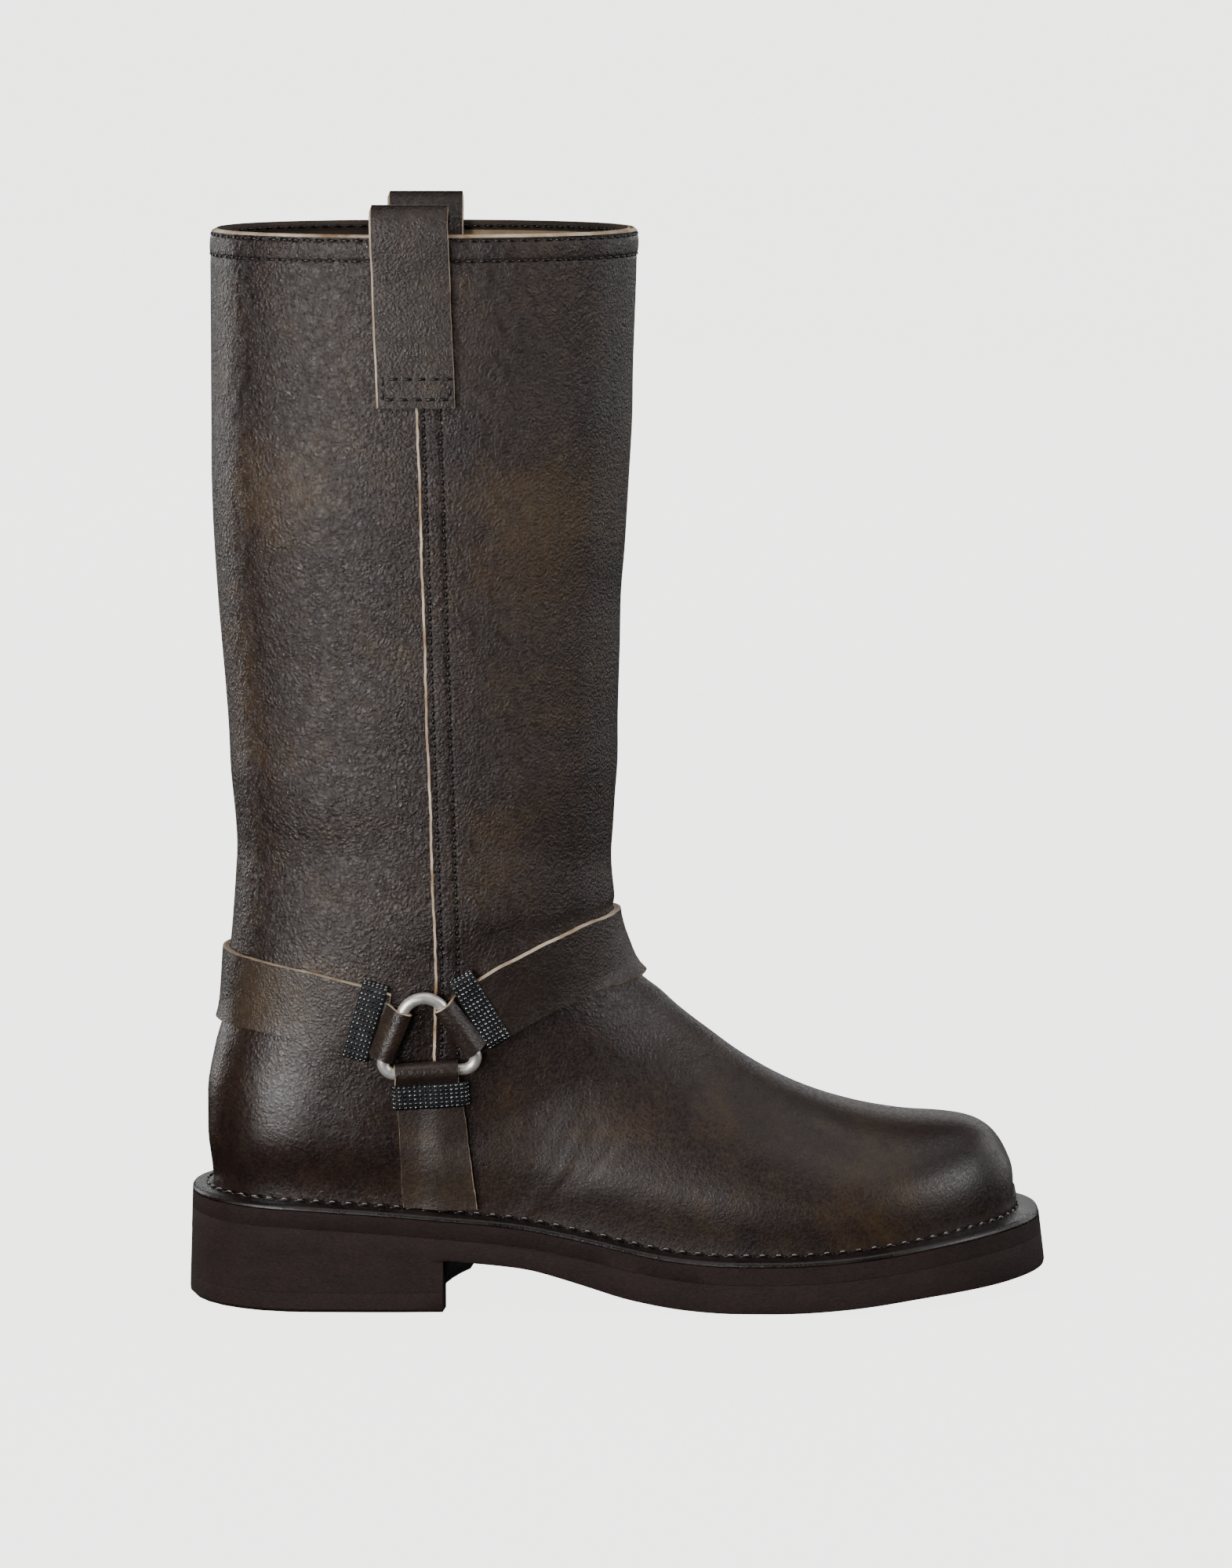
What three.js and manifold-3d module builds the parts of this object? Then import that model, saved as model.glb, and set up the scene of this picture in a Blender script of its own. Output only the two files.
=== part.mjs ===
// Biker boot for the right foot, laid up as a boot maker would: sole, welt, upper, then the harness round
// the ankle. Millimetres. +X runs to the toe, +Y to the big-toe (medial) side, +Z up. The origin is on
// the floor under the heel.

import * as THREE from 'three';
import { mergeVertices } from 'three/addons/utils/BufferGeometryUtils.js';
import Module from 'manifold-3d';

const wasm = await Module();
wasm.setup();

// Foot: the outside of the finished upper, measured at the welt.
const FOOT_LENGTH = 267.8; // back of the counter to the tip of the toe
const HEEL_BACK_X = -25.5; // where the counter's back stands
const BALL_WIDTH = 85.5;
const HEEL_WIDTH = 59.4;
const INSTEP_RISE = 110; // welt to throat
const HEEL_CURL = 34; // length of the round back of the heel
const SIDE_BULGE = 2.2; // how far the sides swell out above the welt
const BULGE_TOP = 0.2; // share of the instep's rise where the swell is full and the foot's plan starts to end
const LEG_START = 0.95; // share of the instep's rise where the section is the leg's alone
const OVAL = 2.15; // power of the leg's oval, 2 for an ellipse
const TOE_ROUND_AT = 0.77; // share of the foot's length where the toe starts to round off
const TOE_ROUND_LATERAL = 2; // power of the toe's curve on the little-toe side
const TOE_ROUND_MEDIAL = 3; // and on the big-toe side, which is squarer

// Leg.
const COLLAR_HEIGHT = 354; // floor to rim
const SHAFT_LENGTH = 139.4; // fore and aft, at the widest
const SHAFT_WIDTH = 96;
const ANKLE_LENGTH = 125.4;
const ANKLE_WIDTH = 79;
const SHAFT_AXIS_X = 44.5;
const SHAFT_AXIS_Y = 0.2;

// Leather.
const WALL = 1.8; // leather and lining of the rear panel
const LAP = 1.2; // how far the front panel stands on the rear panel
const FIT = 0.3; // clearance between pieces that lie on each other
const STRAP = 2.2; // strap, two layers
const STRAP_LAYER = 1.1;
const LOOP_LEATHER = 1.9;

// Sole, from the floor up.
const HEEL_HEIGHT = 37.3; // floor to the welt's top at the back
const TOP_LIFT = 6.5;
const SOLE_THICKNESS = 17.8; // floor to the welt's top under the ball
const WAIST_THICKNESS = 15.4;
const TOE_THICKNESS = 19.2;
const WAIST_END = 0.26; // where the waist starts to thicken, as a share of the way from breast to flat tread
const BALL_START = 0.65; // and where it has its full thickness
const TOE_THICK_FROM = 0.5; // where it starts to thicken again, as a share of the way from flat tread to toe
const WELT = 2.4;
const MIDSOLE = 5.4;
const INSOLE = 3;
const TOE_SPRING = 7;
const FLAT_FROM = 146; // the tread lies flat on the floor between these two
const FLAT_TO = 160;
const WELT_REACH_BACK = 7; // welt beyond the rear panel at the heel
const WELT_REACH_FRONT = 9.2; // and at the toe, where the front panel adds its lap
const FLARE_BACK = 2; // degrees that the sole's side leans out at the heel
const FLARE_FRONT = 7; // and at the toe
const EDGE = 1.2; // rounding of the sole's edges
const BREAST_LATERAL_X = 52.2; // front corners of the heel
const BREAST_MEDIAL_X = 59;
const BREAST_HOLLOW = 5.3;

// Harness.
const WIRE = 3.9; // ring wire
const RING_SIZE = 20; // between the middles of the ring's corners, on average
const RING_X = 46;
const RING_Z = 91;
const STRAP_WIDTH = 22.6;
const WRAP_SLACK = 1; // the strap's sewn end covers this much more than the ring's straight side
const WRAP_TAIL = 9.5; // from the wire to where the strap's two layers run flat as one
const WRAP_MOUTH = 40; // degrees over the strap's line where the upper layer leaves the wire
const KEEPER_LENGTH = 26.6;
const KEEPER_WIDTH = 8.4;
const KEEPER = 1.4;
const KEEPER_REACH = 9.3; // wire to the middle of the keeper

// Pull loops.
const LOOP_WIDTH = 25.4;
const LOOP_DROP = 55.5; // outer leg below the rim
const LOOP_DROP_INSIDE = 42;
const LOOP_ROOM = 0.9; // between the inner leg and the lining
const LOOP_RISE = 9.6; // top of the loop above the rim
const LOOP_STAND = 1.8; // how far the legs stand off at the rim
const LOOP_LATERAL_X = 42;
const LOOP_MEDIAL_X = 44.6;
const LOOP_LEAN = 2; // the outer leg's foot is this much further forward

const RAD = Math.PI / 180;
const lerp = (a, b, t) => a + (b - a) * t;
const clamp = (v, lo, hi) => Math.min(hi, Math.max(lo, v));
function smoothstep(v, from, to) {
  const t = clamp((v - from) / (to - from), 0, 1);
  return t * t * (3 - 2 * t);
}

// A smooth line through a table's rows that never overshoots them: one column against another.
function smoothColumn(rows, across, column) {
  const xs = rows.map((row) => row[across]);
  const ys = rows.map((row) => row[column]);
  const steps = xs.slice(1).map((x, i) => (ys[i + 1] - ys[i]) / (x - xs[i]));
  const slopes = xs.map((x, i) => {
    if (i === 0) return steps[0];
    if (i === xs.length - 1) return steps[i - 1];
    if (steps[i - 1] * steps[i] <= 0) return 0;
    return (2 * steps[i - 1] * steps[i]) / (steps[i - 1] + steps[i]);
  });
  return (x) => {
    const v = clamp(x, xs[0], xs[xs.length - 1]);
    const i = Math.max(0, Math.min(xs.length - 2, xs.findIndex((edge) => edge >= v) - 1));
    const width = xs[i + 1] - xs[i];
    const t = (v - xs[i]) / width;
    const a = ys[i] * (1 + 2 * t) * (1 - t) ** 2 + slopes[i] * width * t * (1 - t) ** 2;
    return a + ys[i + 1] * t * t * (3 - 2 * t) + slopes[i + 1] * width * t * t * (t - 1);
  };
}

// Plan of the foot at the welt. along is a share of the foot's length from the back of the heel; heel,
// lateral and medial are shares of the heel's and the ball's width, and axis is where the foot's middle
// line runs, in ball widths.
const PLAN = [
  { along: 0.0, heel: 0.5, lateral: 0.0, medial: 0.0, axis: 0.0 },
  { along: 0.2, heel: 0.5, lateral: 0.0, medial: 0.0, axis: 0.0 },
  { along: 0.32, heel: 0.4, lateral: 0.06, medial: 0.045, axis: 0.006 },
  { along: 0.395, heel: 0.26, lateral: 0.155, medial: 0.145, axis: 0.018 },
  { along: 0.47, heel: 0.13, lateral: 0.28, medial: 0.25, axis: 0.041 },
  { along: 0.545, heel: 0.05, lateral: 0.38, medial: 0.345, axis: 0.07 },
  { along: 0.62, heel: 0.0, lateral: 0.463, medial: 0.42, axis: 0.1 },
  { along: 0.695, heel: 0.0, lateral: 0.502, medial: 0.444, axis: 0.129 },
  { along: 0.77, heel: 0.0, lateral: 0.52, medial: 0.437, axis: 0.158 },
  { along: 0.845, heel: 0.0, lateral: 0.53, medial: 0.405, axis: 0.187 },
  { along: 0.92, heel: 0.0, lateral: 0.53, medial: 0.372, axis: 0.21 },
  { along: 1.0, heel: 0.0, lateral: 0.53, medial: 0.35, axis: 0.228 },
];
const planHeel = smoothColumn(PLAN, 'along', 'heel');
const planLateral = smoothColumn(PLAN, 'along', 'lateral');
const planMedial = smoothColumn(PLAN, 'along', 'medial');
const planAxis = smoothColumn(PLAN, 'along', 'axis');
const along = (x) => (x - HEEL_BACK_X) / FOOT_LENGTH;
const atAlong = (share) => HEEL_BACK_X + share * FOOT_LENGTH;
const TOE_X = HEEL_BACK_X + FOOT_LENGTH - LAP; // tip of the form under the front panel

// Heights of the welt's top edge, the feather line that the upper is lasted down to: a share of the
// heel's lift against the same lengthwise shares, plus the toe's spring.
const HEEL_LIFT = [
  { along: -0.03, lift: 1.0 },
  { along: 0.035, lift: 0.965 },
  { along: 0.106, lift: 0.935 },
  { along: 0.165, lift: 0.885 },
  { along: 0.212, lift: 0.84 },
  { along: 0.29, lift: 0.74 },
  { along: 0.346, lift: 0.665 },
  { along: 0.386, lift: 0.59 },
  { along: 0.427, lift: 0.48 },
  { along: 0.476, lift: 0.34 },
  { along: 0.507, lift: 0.235 },
  { along: 0.549, lift: 0.115 },
  { along: 0.584, lift: 0.045 },
  { along: 0.615, lift: 0.012 },
  { along: 0.64, lift: 0.0 },
  { along: 1.1, lift: 0.0 },
];
const heelLift = smoothColumn(HEEL_LIFT, 'along', 'lift');
const toeSpring = (x) => TOE_SPRING * smoothstep(x, FLAT_TO, atAlong(1.035));
const weltTop = (x) => SOLE_THICKNESS + (HEEL_HEIGHT - SOLE_THICKNESS) * heelLift(along(x)) + toeSpring(x);
const seatZ = (x) => weltTop(x) - WELT; // the upper's lower edge and the insole stand here

// Leg sections from the rim down to the throat. height is a share of the way up from the throat, swell
// and spread go from the ankle's length and width to the shaft's, and lean moves the section to the toe,
// in ankle lengths.
const LEG = [
  { height: 1.06, swell: 0.985, spread: 1.0, lean: 0.0095 },
  { height: 1.0, swell: 0.985, spread: 1.0, lean: 0.009 },
  { height: 0.942, swell: 1.0, spread: 1.0, lean: 0.006 },
  { height: 0.849, swell: 0.95, spread: 0.96, lean: 0.003 },
  { height: 0.756, swell: 0.89, spread: 0.91, lean: -0.001 },
  { height: 0.663, swell: 0.85, spread: 0.85, lean: -0.003 },
  { height: 0.569, swell: 0.75, spread: 0.76, lean: -0.006 },
  { height: 0.475, swell: 0.6, spread: 0.64, lean: -0.006 },
  { height: 0.381, swell: 0.42, spread: 0.5, lean: -0.0045 },
  { height: 0.287, swell: 0.25, spread: 0.36, lean: -0.0008 },
  { height: 0.192, swell: 0.11, spread: 0.22, lean: 0.0008 },
  { height: 0.097, swell: -0.035, spread: 0.1, lean: 0.0033 },
  { height: 0.035, swell: -0.02, spread: 0.0, lean: 0.0018 },
];

// Foot sections, turning from level at the throat to upright at the toe. Each is a plane through a point
// on the front of the upper and one on its back or, past the heel, under it. along is as above; rise is a
// share of the instep's rise over the welt; widest is the share of the section where it is broadest, and
// crown its top's power.
const FOOT = [
  { frontAlong: 0.4975, frontRise: 1, backAlong: 0.0255, backRise: 0.833, widest: 0.5, crown: 2.1 },
  { frontAlong: 0.4955, frontRise: 0.967, backAlong: 0.0207, backRise: 0.704, widest: 0.48, crown: 2.1 },
  { frontAlong: 0.5, frontRise: 0.911, backAlong: 0.0162, backRise: 0.556, widest: 0.46, crown: 2.05 },
  { frontAlong: 0.5076, frontRise: 0.861, backAlong: 0.0015, backRise: 0.418, widest: 0.44, crown: 2.0 },
  { frontAlong: 0.5178, frontRise: 0.808, backAlong: -0.0079, backRise: 0.277, widest: 0.42, crown: 1.95 },
  { frontAlong: 0.533, frontRise: 0.77, backAlong: -0.0079, backRise: 0.159, widest: 0.4, crown: 1.95 },
  { frontAlong: 0.5543, frontRise: 0.739, backAlong: -0.003, backRise: 0.051, widest: 0.39, crown: 1.9 },
  { frontAlong: 0.5735, frontRise: 0.702, backAlong: 0.0007, backRise: -0.057, widest: 0.38, crown: 1.9 },
  { frontAlong: 0.5933, frontRise: 0.667, backAlong: 0.0056, backRise: -0.164, widest: 0.38, crown: 1.9 },
  { frontAlong: 0.6181, frontRise: 0.624, backAlong: 0.0956, backRise: -0.178, widest: 0.38, crown: 1.9 },
  { frontAlong: 0.6466, frontRise: 0.571, backAlong: 0.2155, backRise: -0.178, widest: 0.38, crown: 1.9 },
  { frontAlong: 0.6822, frontRise: 0.513, backAlong: 0.3355, backRise: -0.168, widest: 0.38, crown: 1.95 },
  { frontAlong: 0.7253, frontRise: 0.455, backAlong: 0.4629, backRise: -0.164, widest: 0.38, crown: 2.0 },
  { frontAlong: 0.7702, frontRise: 0.405, backAlong: 0.5828, backRise: -0.148, widest: 0.38, crown: 2.05 },
  { frontAlong: 0.819, frontRise: 0.36, backAlong: 0.6953, backRise: -0.152, widest: 0.38, crown: 2.1 },
  { frontAlong: 0.8677, frontRise: 0.326, backAlong: 0.8002, backRise: -0.153, widest: 0.38, crown: 2.2 },
  { frontAlong: 0.9052, frontRise: 0.308, backAlong: 0.8715, backRise: -0.155, widest: 0.38, crown: 2.3 },
  { frontAlong: 0.9325, frontRise: 0.291, backAlong: 0.9164, backRise: -0.146, widest: 0.38, crown: 2.35 },
  { frontAlong: 0.952, frontRise: 0.271, backAlong: 0.9445, backRise: -0.143, widest: 0.38, crown: 2.4 },
  { frontAlong: 0.9678, frontRise: 0.244, backAlong: 0.96, backRise: -0.136, widest: 0.38, crown: 2.4 },
  { frontAlong: 0.9802, frontRise: 0.208, backAlong: 0.9742, backRise: -0.129, widest: 0.4, crown: 2.4 },
  { frontAlong: 0.9899, frontRise: 0.164, backAlong: 0.9842, backRise: -0.122, widest: 0.43, crown: 2.4 },
  { frontAlong: 0.9966, frontRise: 0.117, backAlong: 0.9908, backRise: -0.114, widest: 0.47, crown: 2.4 },
  { frontAlong: 0.9983, frontRise: 0.067, backAlong: 0.9935, backRise: -0.105, widest: 0.5, crown: 2.4 },
];

// Side view: every section's front and back point in millimetres, on the outside of the finished upper.
const throatZ = weltTop(atAlong(0.5)) + INSTEP_RISE;
function legSection(row) {
  const length = lerp(ANKLE_LENGTH, SHAFT_LENGTH, row.swell);
  const middle = SHAFT_AXIS_X + row.lean * ANKLE_LENGTH;
  const z = lerp(throatZ, COLLAR_HEIGHT, row.height);
  return { fx: middle + length / 2, fz: z, bx: middle - length / 2, bz: z, widest: 0.5, crown: OVAL };
}
function footSection(row) {
  const fx = atAlong(row.frontAlong);
  const bx = atAlong(row.backAlong);
  const fz = weltTop(fx) + row.frontRise * INSTEP_RISE;
  const bz = weltTop(bx) + row.backRise * INSTEP_RISE;
  return { fx, fz, bx, bz, widest: row.widest, crown: row.crown };
}
const OUTSIDE = [...LEG.map(legSection), ...FOOT.map(footSection)];

// The form under the front panel is one lap inside that line along the front of the leg and the top of
// the foot.
const SECTIONS = OUTSIDE.map((section, i) => {
  const before = OUTSIDE[Math.max(0, i - 1)];
  const after = OUTSIDE[Math.min(OUTSIDE.length - 1, i + 1)];
  const run = new THREE.Vector2(after.fx - before.fx, after.fz - before.fz).normalize();
  return { ...section, row: i, fx: section.fx + run.y * LAP, fz: section.fz - run.x * LAP };
});
const LAST_ROW = SECTIONS.length - 1;
const SECTION_KEYS = ['fx', 'fz', 'bx', 'bz', 'widest', 'crown'];
const sectionCurves = SECTION_KEYS.map((key) => smoothColumn(SECTIONS, 'row', key));
function sectionAt(row) {
  const values = sectionCurves.map((curve) => curve(row));
  return Object.fromEntries(SECTION_KEYS.map((key, i) => [key, values[i]]));
}

// The back line of heel and leg, against height, down to the first section that ends under the heel, and
// the leg's half width.
const HEEL_ROWS = LEG.length + FOOT.findIndex((row) => row.backRise < -0.16) + 1;
const BACK = SECTIONS.slice(0, HEEL_ROWS).reverse();
const backX = smoothColumn(BACK, 'bz', 'bx');
const heightZ = (row) => lerp(throatZ, COLLAR_HEIGHT, row.height);
const SPREAD = LEG.map((row) => ({ z: heightZ(row), spread: row.spread })).reverse();
const legSpread = smoothColumn(SPREAD, 'z', 'spread');
const legHalf = (z) => lerp(ANKLE_WIDTH, SHAFT_WIDTH, legSpread(z)) / 2;

// How far a height has left the foot's plan (0) for the leg's (1).
const legShare = (x, z) => smoothstep(z - weltTop(x), BULGE_TOP * INSTEP_RISE, LEG_START * INSTEP_RISE);
const middleY = (x, z) => lerp(planAxis(along(x)) * BALL_WIDTH, SHAFT_AXIS_Y, legShare(x, z));

function toeRound(x, power) {
  const run = clamp((x - atAlong(TOE_ROUND_AT)) / (TOE_X - atAlong(TOE_ROUND_AT)), 0, 1);
  return (1 - run ** power) ** (1 / power);
}
function heelRound(x, z) {
  const ankle = smoothstep(z - weltTop(x), (BULGE_TOP / 2) * INSTEP_RISE, INSTEP_RISE);
  const curl = lerp(HEEL_CURL, ANKLE_LENGTH / 2, ankle);
  const run = clamp(1 - (x - backX(z)) / curl, 0, 1);
  return (1 - run ** OVAL) ** (1 / OVAL);
}

// Half width of the form at a point of the side view, without the round top of its section.
function planHalf(x, z, side) {
  const share = along(x);
  const ball = side > 0 ? planMedial(share) : planLateral(share);
  const bulge = SIDE_BULGE * smoothstep(z - weltTop(x), 0, BULGE_TOP * INSTEP_RISE);
  const foot = planHeel(share) * HEEL_WIDTH + ball * BALL_WIDTH + bulge;
  const power = side > 0 ? TOE_ROUND_MEDIAL : TOE_ROUND_LATERAL;
  return lerp(foot, legHalf(z), legShare(x, z)) * heelRound(x, z) * toeRound(x, power);
}
function crownRound(section, share) {
  const run = clamp((share - section.widest) / (1 - section.widest), 0, 1);
  return (1 - run ** section.crown) ** (1 / section.crown);
}

// A point of the form: row picks the section, turn goes round it from the front (0) by the medial side to
// the back.
function formPoint(row, turn) {
  const section = sectionAt(row);
  const share = (1 + Math.cos(turn)) / 2;
  const side = Math.sign(Math.round(Math.sin(turn) * 1e6)); // 0 at the very front and back
  const x = lerp(section.bx, section.fx, share);
  const z = lerp(section.bz, section.fz, share);
  const half = planHalf(x, z, side) * crownRound(section, share);
  return new THREE.Vector3(x, middleY(x, z) + side * half, z);
}
function formNormal(row, turn) {
  const dr = 0.05;
  const dt = 0.02;
  const down = Math.min(row + dr, LAST_ROW);
  const up = Math.max(row - dr, 0);
  const along = formPoint(down, turn).sub(formPoint(up, turn));
  const round = formPoint(row, turn + dt).sub(formPoint(row, turn - dt));
  return round.cross(along).normalize().negate();
}

// The whole form grown by a distance along its normals, closed above the rim and under the foot.
const ROWS = [0, 1, 2.5, 4, 5.5, 7, 8.5, 10, 11.5, 12.5];
for (let row = 13; row <= LAST_ROW; row += 1) ROWS.push(row);
const ROUND = 32;
const ROUND_INSIDE = 24;
function grid(rows, round, place) {
  const points = [];
  const index = [];
  rows.forEach((row) => {
    for (let j = 0; j < round; j += 1) points.push(place(row, (j / round) * 2 * Math.PI));
  });
  for (let i = 0; i < rows.length - 1; i += 1) {
    for (let j = 0; j < round; j += 1) {
      const a = i * round + j;
      const b = i * round + ((j + 1) % round);
      index.push(a, a + round, b, b, a + round, b + round);
    }
  }
  const last = (rows.length - 1) * round;
  for (let j = 1; j < round / 2; j += 1) {
    const far = round - j;
    const next = (far + 1) % round;
    index.push(j - 1, j, next, j, far, next);
    index.push(last + j, last + j - 1, last + next, last + far, last + j, last + next);
  }
  const half = round / 2;
  index.push(half - 1, half, half + 1, last + half, last + half - 1, last + half + 1);
  return meshOf(points, index);
}
function meshOf(points, index) {
  const geometry = new THREE.BufferGeometry();
  const values = points.flatMap((p) => [p.x, p.y, p.z]);
  geometry.setAttribute('position', new THREE.Float32BufferAttribute(values, 3));
  geometry.setIndex(index);
  return geometry;
}

// Booleans: a closed geometry becomes a solid, and a solid becomes a geometry again.
function solid(geometry) {
  const bare = geometry.clone();
  bare.deleteAttribute('normal');
  bare.deleteAttribute('uv');
  const merged = mergeVertices(bare, 1e-4);
  const vertProperties = new Float32Array(merged.attributes.position.array);
  const triVerts = new Uint32Array(merged.index.array);
  return new wasm.Manifold(new wasm.Mesh({ numProp: 3, vertProperties, triVerts }));
}
function geometryOf(body) {
  const mesh = body.getMesh();
  const geometry = new THREE.BufferGeometry();
  geometry.setAttribute('position', new THREE.BufferAttribute(new Float32Array(mesh.vertProperties), 3));
  geometry.setIndex(new THREE.BufferAttribute(new Uint32Array(mesh.triVerts), 1));
  return geometry;
}

function grownForm(distance, round = ROUND) {
  const place = (row, turn) => formPoint(row, turn).addScaledVector(formNormal(row, turn), distance);
  return solid(grid(ROWS, round, place));
}

// A block with the given outline in the side view, from one y to another.
function sideBlock(outline, from, to) {
  const shape = new THREE.Shape(outline.map(([x, z]) => new THREE.Vector2(x, z)));
  const block = new THREE.ExtrudeGeometry(shape, { depth: to - from, bevelEnabled: false });
  return solid(block.rotateX(Math.PI / 2).translate(0, to, 0));
}
const REACH = 150; // half the width of a cutting block, wider than the boot

// Side seam: the front panel's raw edge, in the side view. x is in ankle lengths from the leg's axis,
// height is a share of the way from the welt to the rim.
const SEAM = [
  { height: -0.1, lean: 0.025 },
  { height: 0.08, lean: 0.03 },
  { height: 0.17, lean: 0.034 },
  { height: 0.24, lean: 0.038 },
  { height: 0.37, lean: 0.03 },
  { height: 0.53, lean: 0.018 },
  { height: 0.69, lean: 0.008 },
  { height: 0.83, lean: -0.002 },
  { height: 1.05, lean: -0.014 },
];
const seamPoint = (row) => [
  SHAFT_AXIS_X + row.lean * ANKLE_LENGTH,
  lerp(weltTop(SHAFT_AXIS_X), COLLAR_HEIGHT, row.height),
];
const seamLine = SEAM.map(seamPoint);
function frontBlock(growth) {
  const line = seamLine.map(([x, z]) => [x - growth, z]);
  const far = atAlong(1) + REACH;
  const top = line[line.length - 1][1];
  return sideBlock([...line, [far, top], [far, line[0][1]]], -REACH, REACH);
}

// The upper's outside, grown by a distance: the rear panel's form, and the front panel one lap outside
// it.
function upperForm(distance) {
  const front = grownForm(LAP + distance).intersect(frontBlock(distance));
  return grownForm(distance).add(front);
}

// Everything under a line in the side view, and everything over the rim.
const LINE_STEPS = 44;
function belowLine(zOf) {
  const from = atAlong(-0.06);
  const to = atAlong(1.06);
  const line = Array.from({ length: LINE_STEPS + 1 }, (_, i) => {
    const x = lerp(to, from, i / LINE_STEPS);
    return [x, zOf(x)];
  });
  return sideBlock([[from, -REACH], [to, -REACH], ...line], -REACH, REACH);
}
const rimCorners = [[-1, 1], [2, 1], [2, 2], [-1, 2]];
const aboveRim = sideBlock(rimCorners.map(([a, b]) => [a * REACH, b * COLLAR_HEIGHT]), -REACH, REACH);

// The sole's outline: the foot's plan at the welt, pushed out by a distance that may change along it.
const PLAN_STEPS = 34;
function planLine() {
  const start = backX(HEEL_HEIGHT);
  const xs = Array.from({ length: PLAN_STEPS + 1 }, (_, k) => {
    const share = (1 - Math.cos((Math.PI * k) / PLAN_STEPS)) / 2;
    return lerp(start, TOE_X, share);
  });
  const edge = (x, side) => {
    const half = planHalf(x, weltTop(x), side);
    return new THREE.Vector2(x, planAxis(along(x)) * BALL_WIDTH + side * half);
  };
  const lateral = xs.map((x) => edge(x, -1));
  const medial = xs.slice(1, -1).reverse().map((x) => edge(x, 1));
  return [...lateral, ...medial];
}
const PLAN_LINE = planLine();
function outline(growth) {
  const count = PLAN_LINE.length;
  return PLAN_LINE.map((p, i) => {
    const before = PLAN_LINE[(i + count - 1) % count];
    const after = PLAN_LINE[(i + 1) % count];
    const run = after.clone().sub(before).normalize();
    const out = growth(p.x);
    return new THREE.Vector2(p.x + run.y * out, p.y - run.x * out);
  });
}

// A layer of the sole from a list of levels, top to bottom, each with its height and how far it reaches
// out.
function layer(levels) {
  const ring = ({ z, reach }) => outline(reach).map((p) => new THREE.Vector3(p.x, p.y, z(p.x)));
  const rings = levels.map(ring);
  const count = PLAN_LINE.length;
  const index = [];
  for (let level = 0; level < rings.length - 1; level += 1) {
    for (let i = 0; i < count; i += 1) {
      const a = level * count + i;
      const b = level * count + ((i + 1) % count);
      index.push(a, a + count, b, b, a + count, b + count);
    }
  }
  const last = (rings.length - 1) * count;
  for (let i = 0; i < PLAN_STEPS; i += 1) {
    const quad = [i, i + 1, (count - i - 1) % count, (count - i) % count];
    const triangles = [[quad[0], quad[1], quad[2]], [quad[0], quad[2], quad[3]]];
    triangles.filter((t) => new Set(t).size === 3).forEach(([a, b, c]) => {
      index.push(a, b, c);
      index.push(last + c, last + b, last + a);
    });
  }
  return meshOf(rings.flat(), index);
}

const weltReach = (x) => lerp(WELT_REACH_BACK, WELT_REACH_FRONT, clamp(along(x), 0, 1));
const flare = (x) => Math.tan(RAD * lerp(FLARE_BACK, FLARE_FRONT, clamp(along(x), 0, 1)));
const reachAt = (depth, rounding = 0) => (x) => weltReach(x) + depth(x) * flare(x) - rounding;
const soleThickness = (x) => {
  const [from, to] = [WAIST_END, BALL_START].map((share) => lerp(BREAST_LATERAL_X, FLAT_FROM, share));
  const forefoot = lerp(WAIST_THICKNESS, SOLE_THICKNESS, smoothstep(x, from, to));
  return lerp(forefoot, TOE_THICKNESS, smoothstep(x, lerp(FLAT_TO, TOE_X, TOE_THICK_FROM), TOE_X));
};
const treadZ = (x) => weltTop(x) - soleThickness(x);
const below = (zOf, drop) => (x) => zOf(x) - drop;
const constant = (value) => () => value;

const midsoleTop = below(seatZ, FIT);
const midsoleBottom = below(weltTop, WELT + FIT + MIDSOLE);
const outsoleTop = below(midsoleBottom, FIT);

const midsole = layer([
  { z: midsoleTop, reach: reachAt(constant(WELT)) },
  { z: midsoleBottom, reach: reachAt(constant(WELT + MIDSOLE)) },
]);
const outsole = layer([
  { z: outsoleTop, reach: reachAt(constant(WELT + MIDSOLE)) },
  { z: (x) => treadZ(x) + EDGE, reach: reachAt((x) => soleThickness(x) - EDGE) },
  { z: treadZ, reach: reachAt(soleThickness, EDGE) },
]);
const weltStrip = layer([
  { z: weltTop, reach: reachAt(constant(0), EDGE / 2) },
  { z: below(weltTop, EDGE / 2), reach: reachAt(constant(0)) },
  { z: seatZ, reach: reachAt(constant(WELT)) },
]);
const welt = solid(weltStrip).subtract(upperForm(FIT));

// Heel: the sole's own outline behind a hollow breast.
const breastCut = (() => {
  const side = BALL_WIDTH;
  const slope = (BREAST_MEDIAL_X - BREAST_LATERAL_X) / HEEL_WIDTH;
  const edgeX = (y) => (BREAST_LATERAL_X + BREAST_MEDIAL_X) / 2 + slope * y;
  const shape = new THREE.Shape();
  shape.moveTo(edgeX(-side), -side);
  shape.lineTo(edgeX(-HEEL_WIDTH / 2), -HEEL_WIDTH / 2);
  shape.quadraticCurveTo(edgeX(0) - 2 * BREAST_HOLLOW, 0, edgeX(HEEL_WIDTH / 2), HEEL_WIDTH / 2);
  shape.lineTo(edgeX(side), side);
  shape.lineTo(atAlong(1.2), side);
  shape.lineTo(atAlong(1.2), -side);
  const depth = COLLAR_HEIGHT;
  const block = new THREE.ExtrudeGeometry(shape, { depth, bevelEnabled: false, curveSegments: 8 });
  return solid(block.translate(0, 0, -depth / 2));
})();
const depthTo = (z) => (x) => weltTop(x) - z;
const HEEL_END = 80; // the heel's layers are laid up to here and then cut to the breast
const overHeel = (zOf) => (x) => zOf(Math.min(x, HEEL_END));
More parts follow.
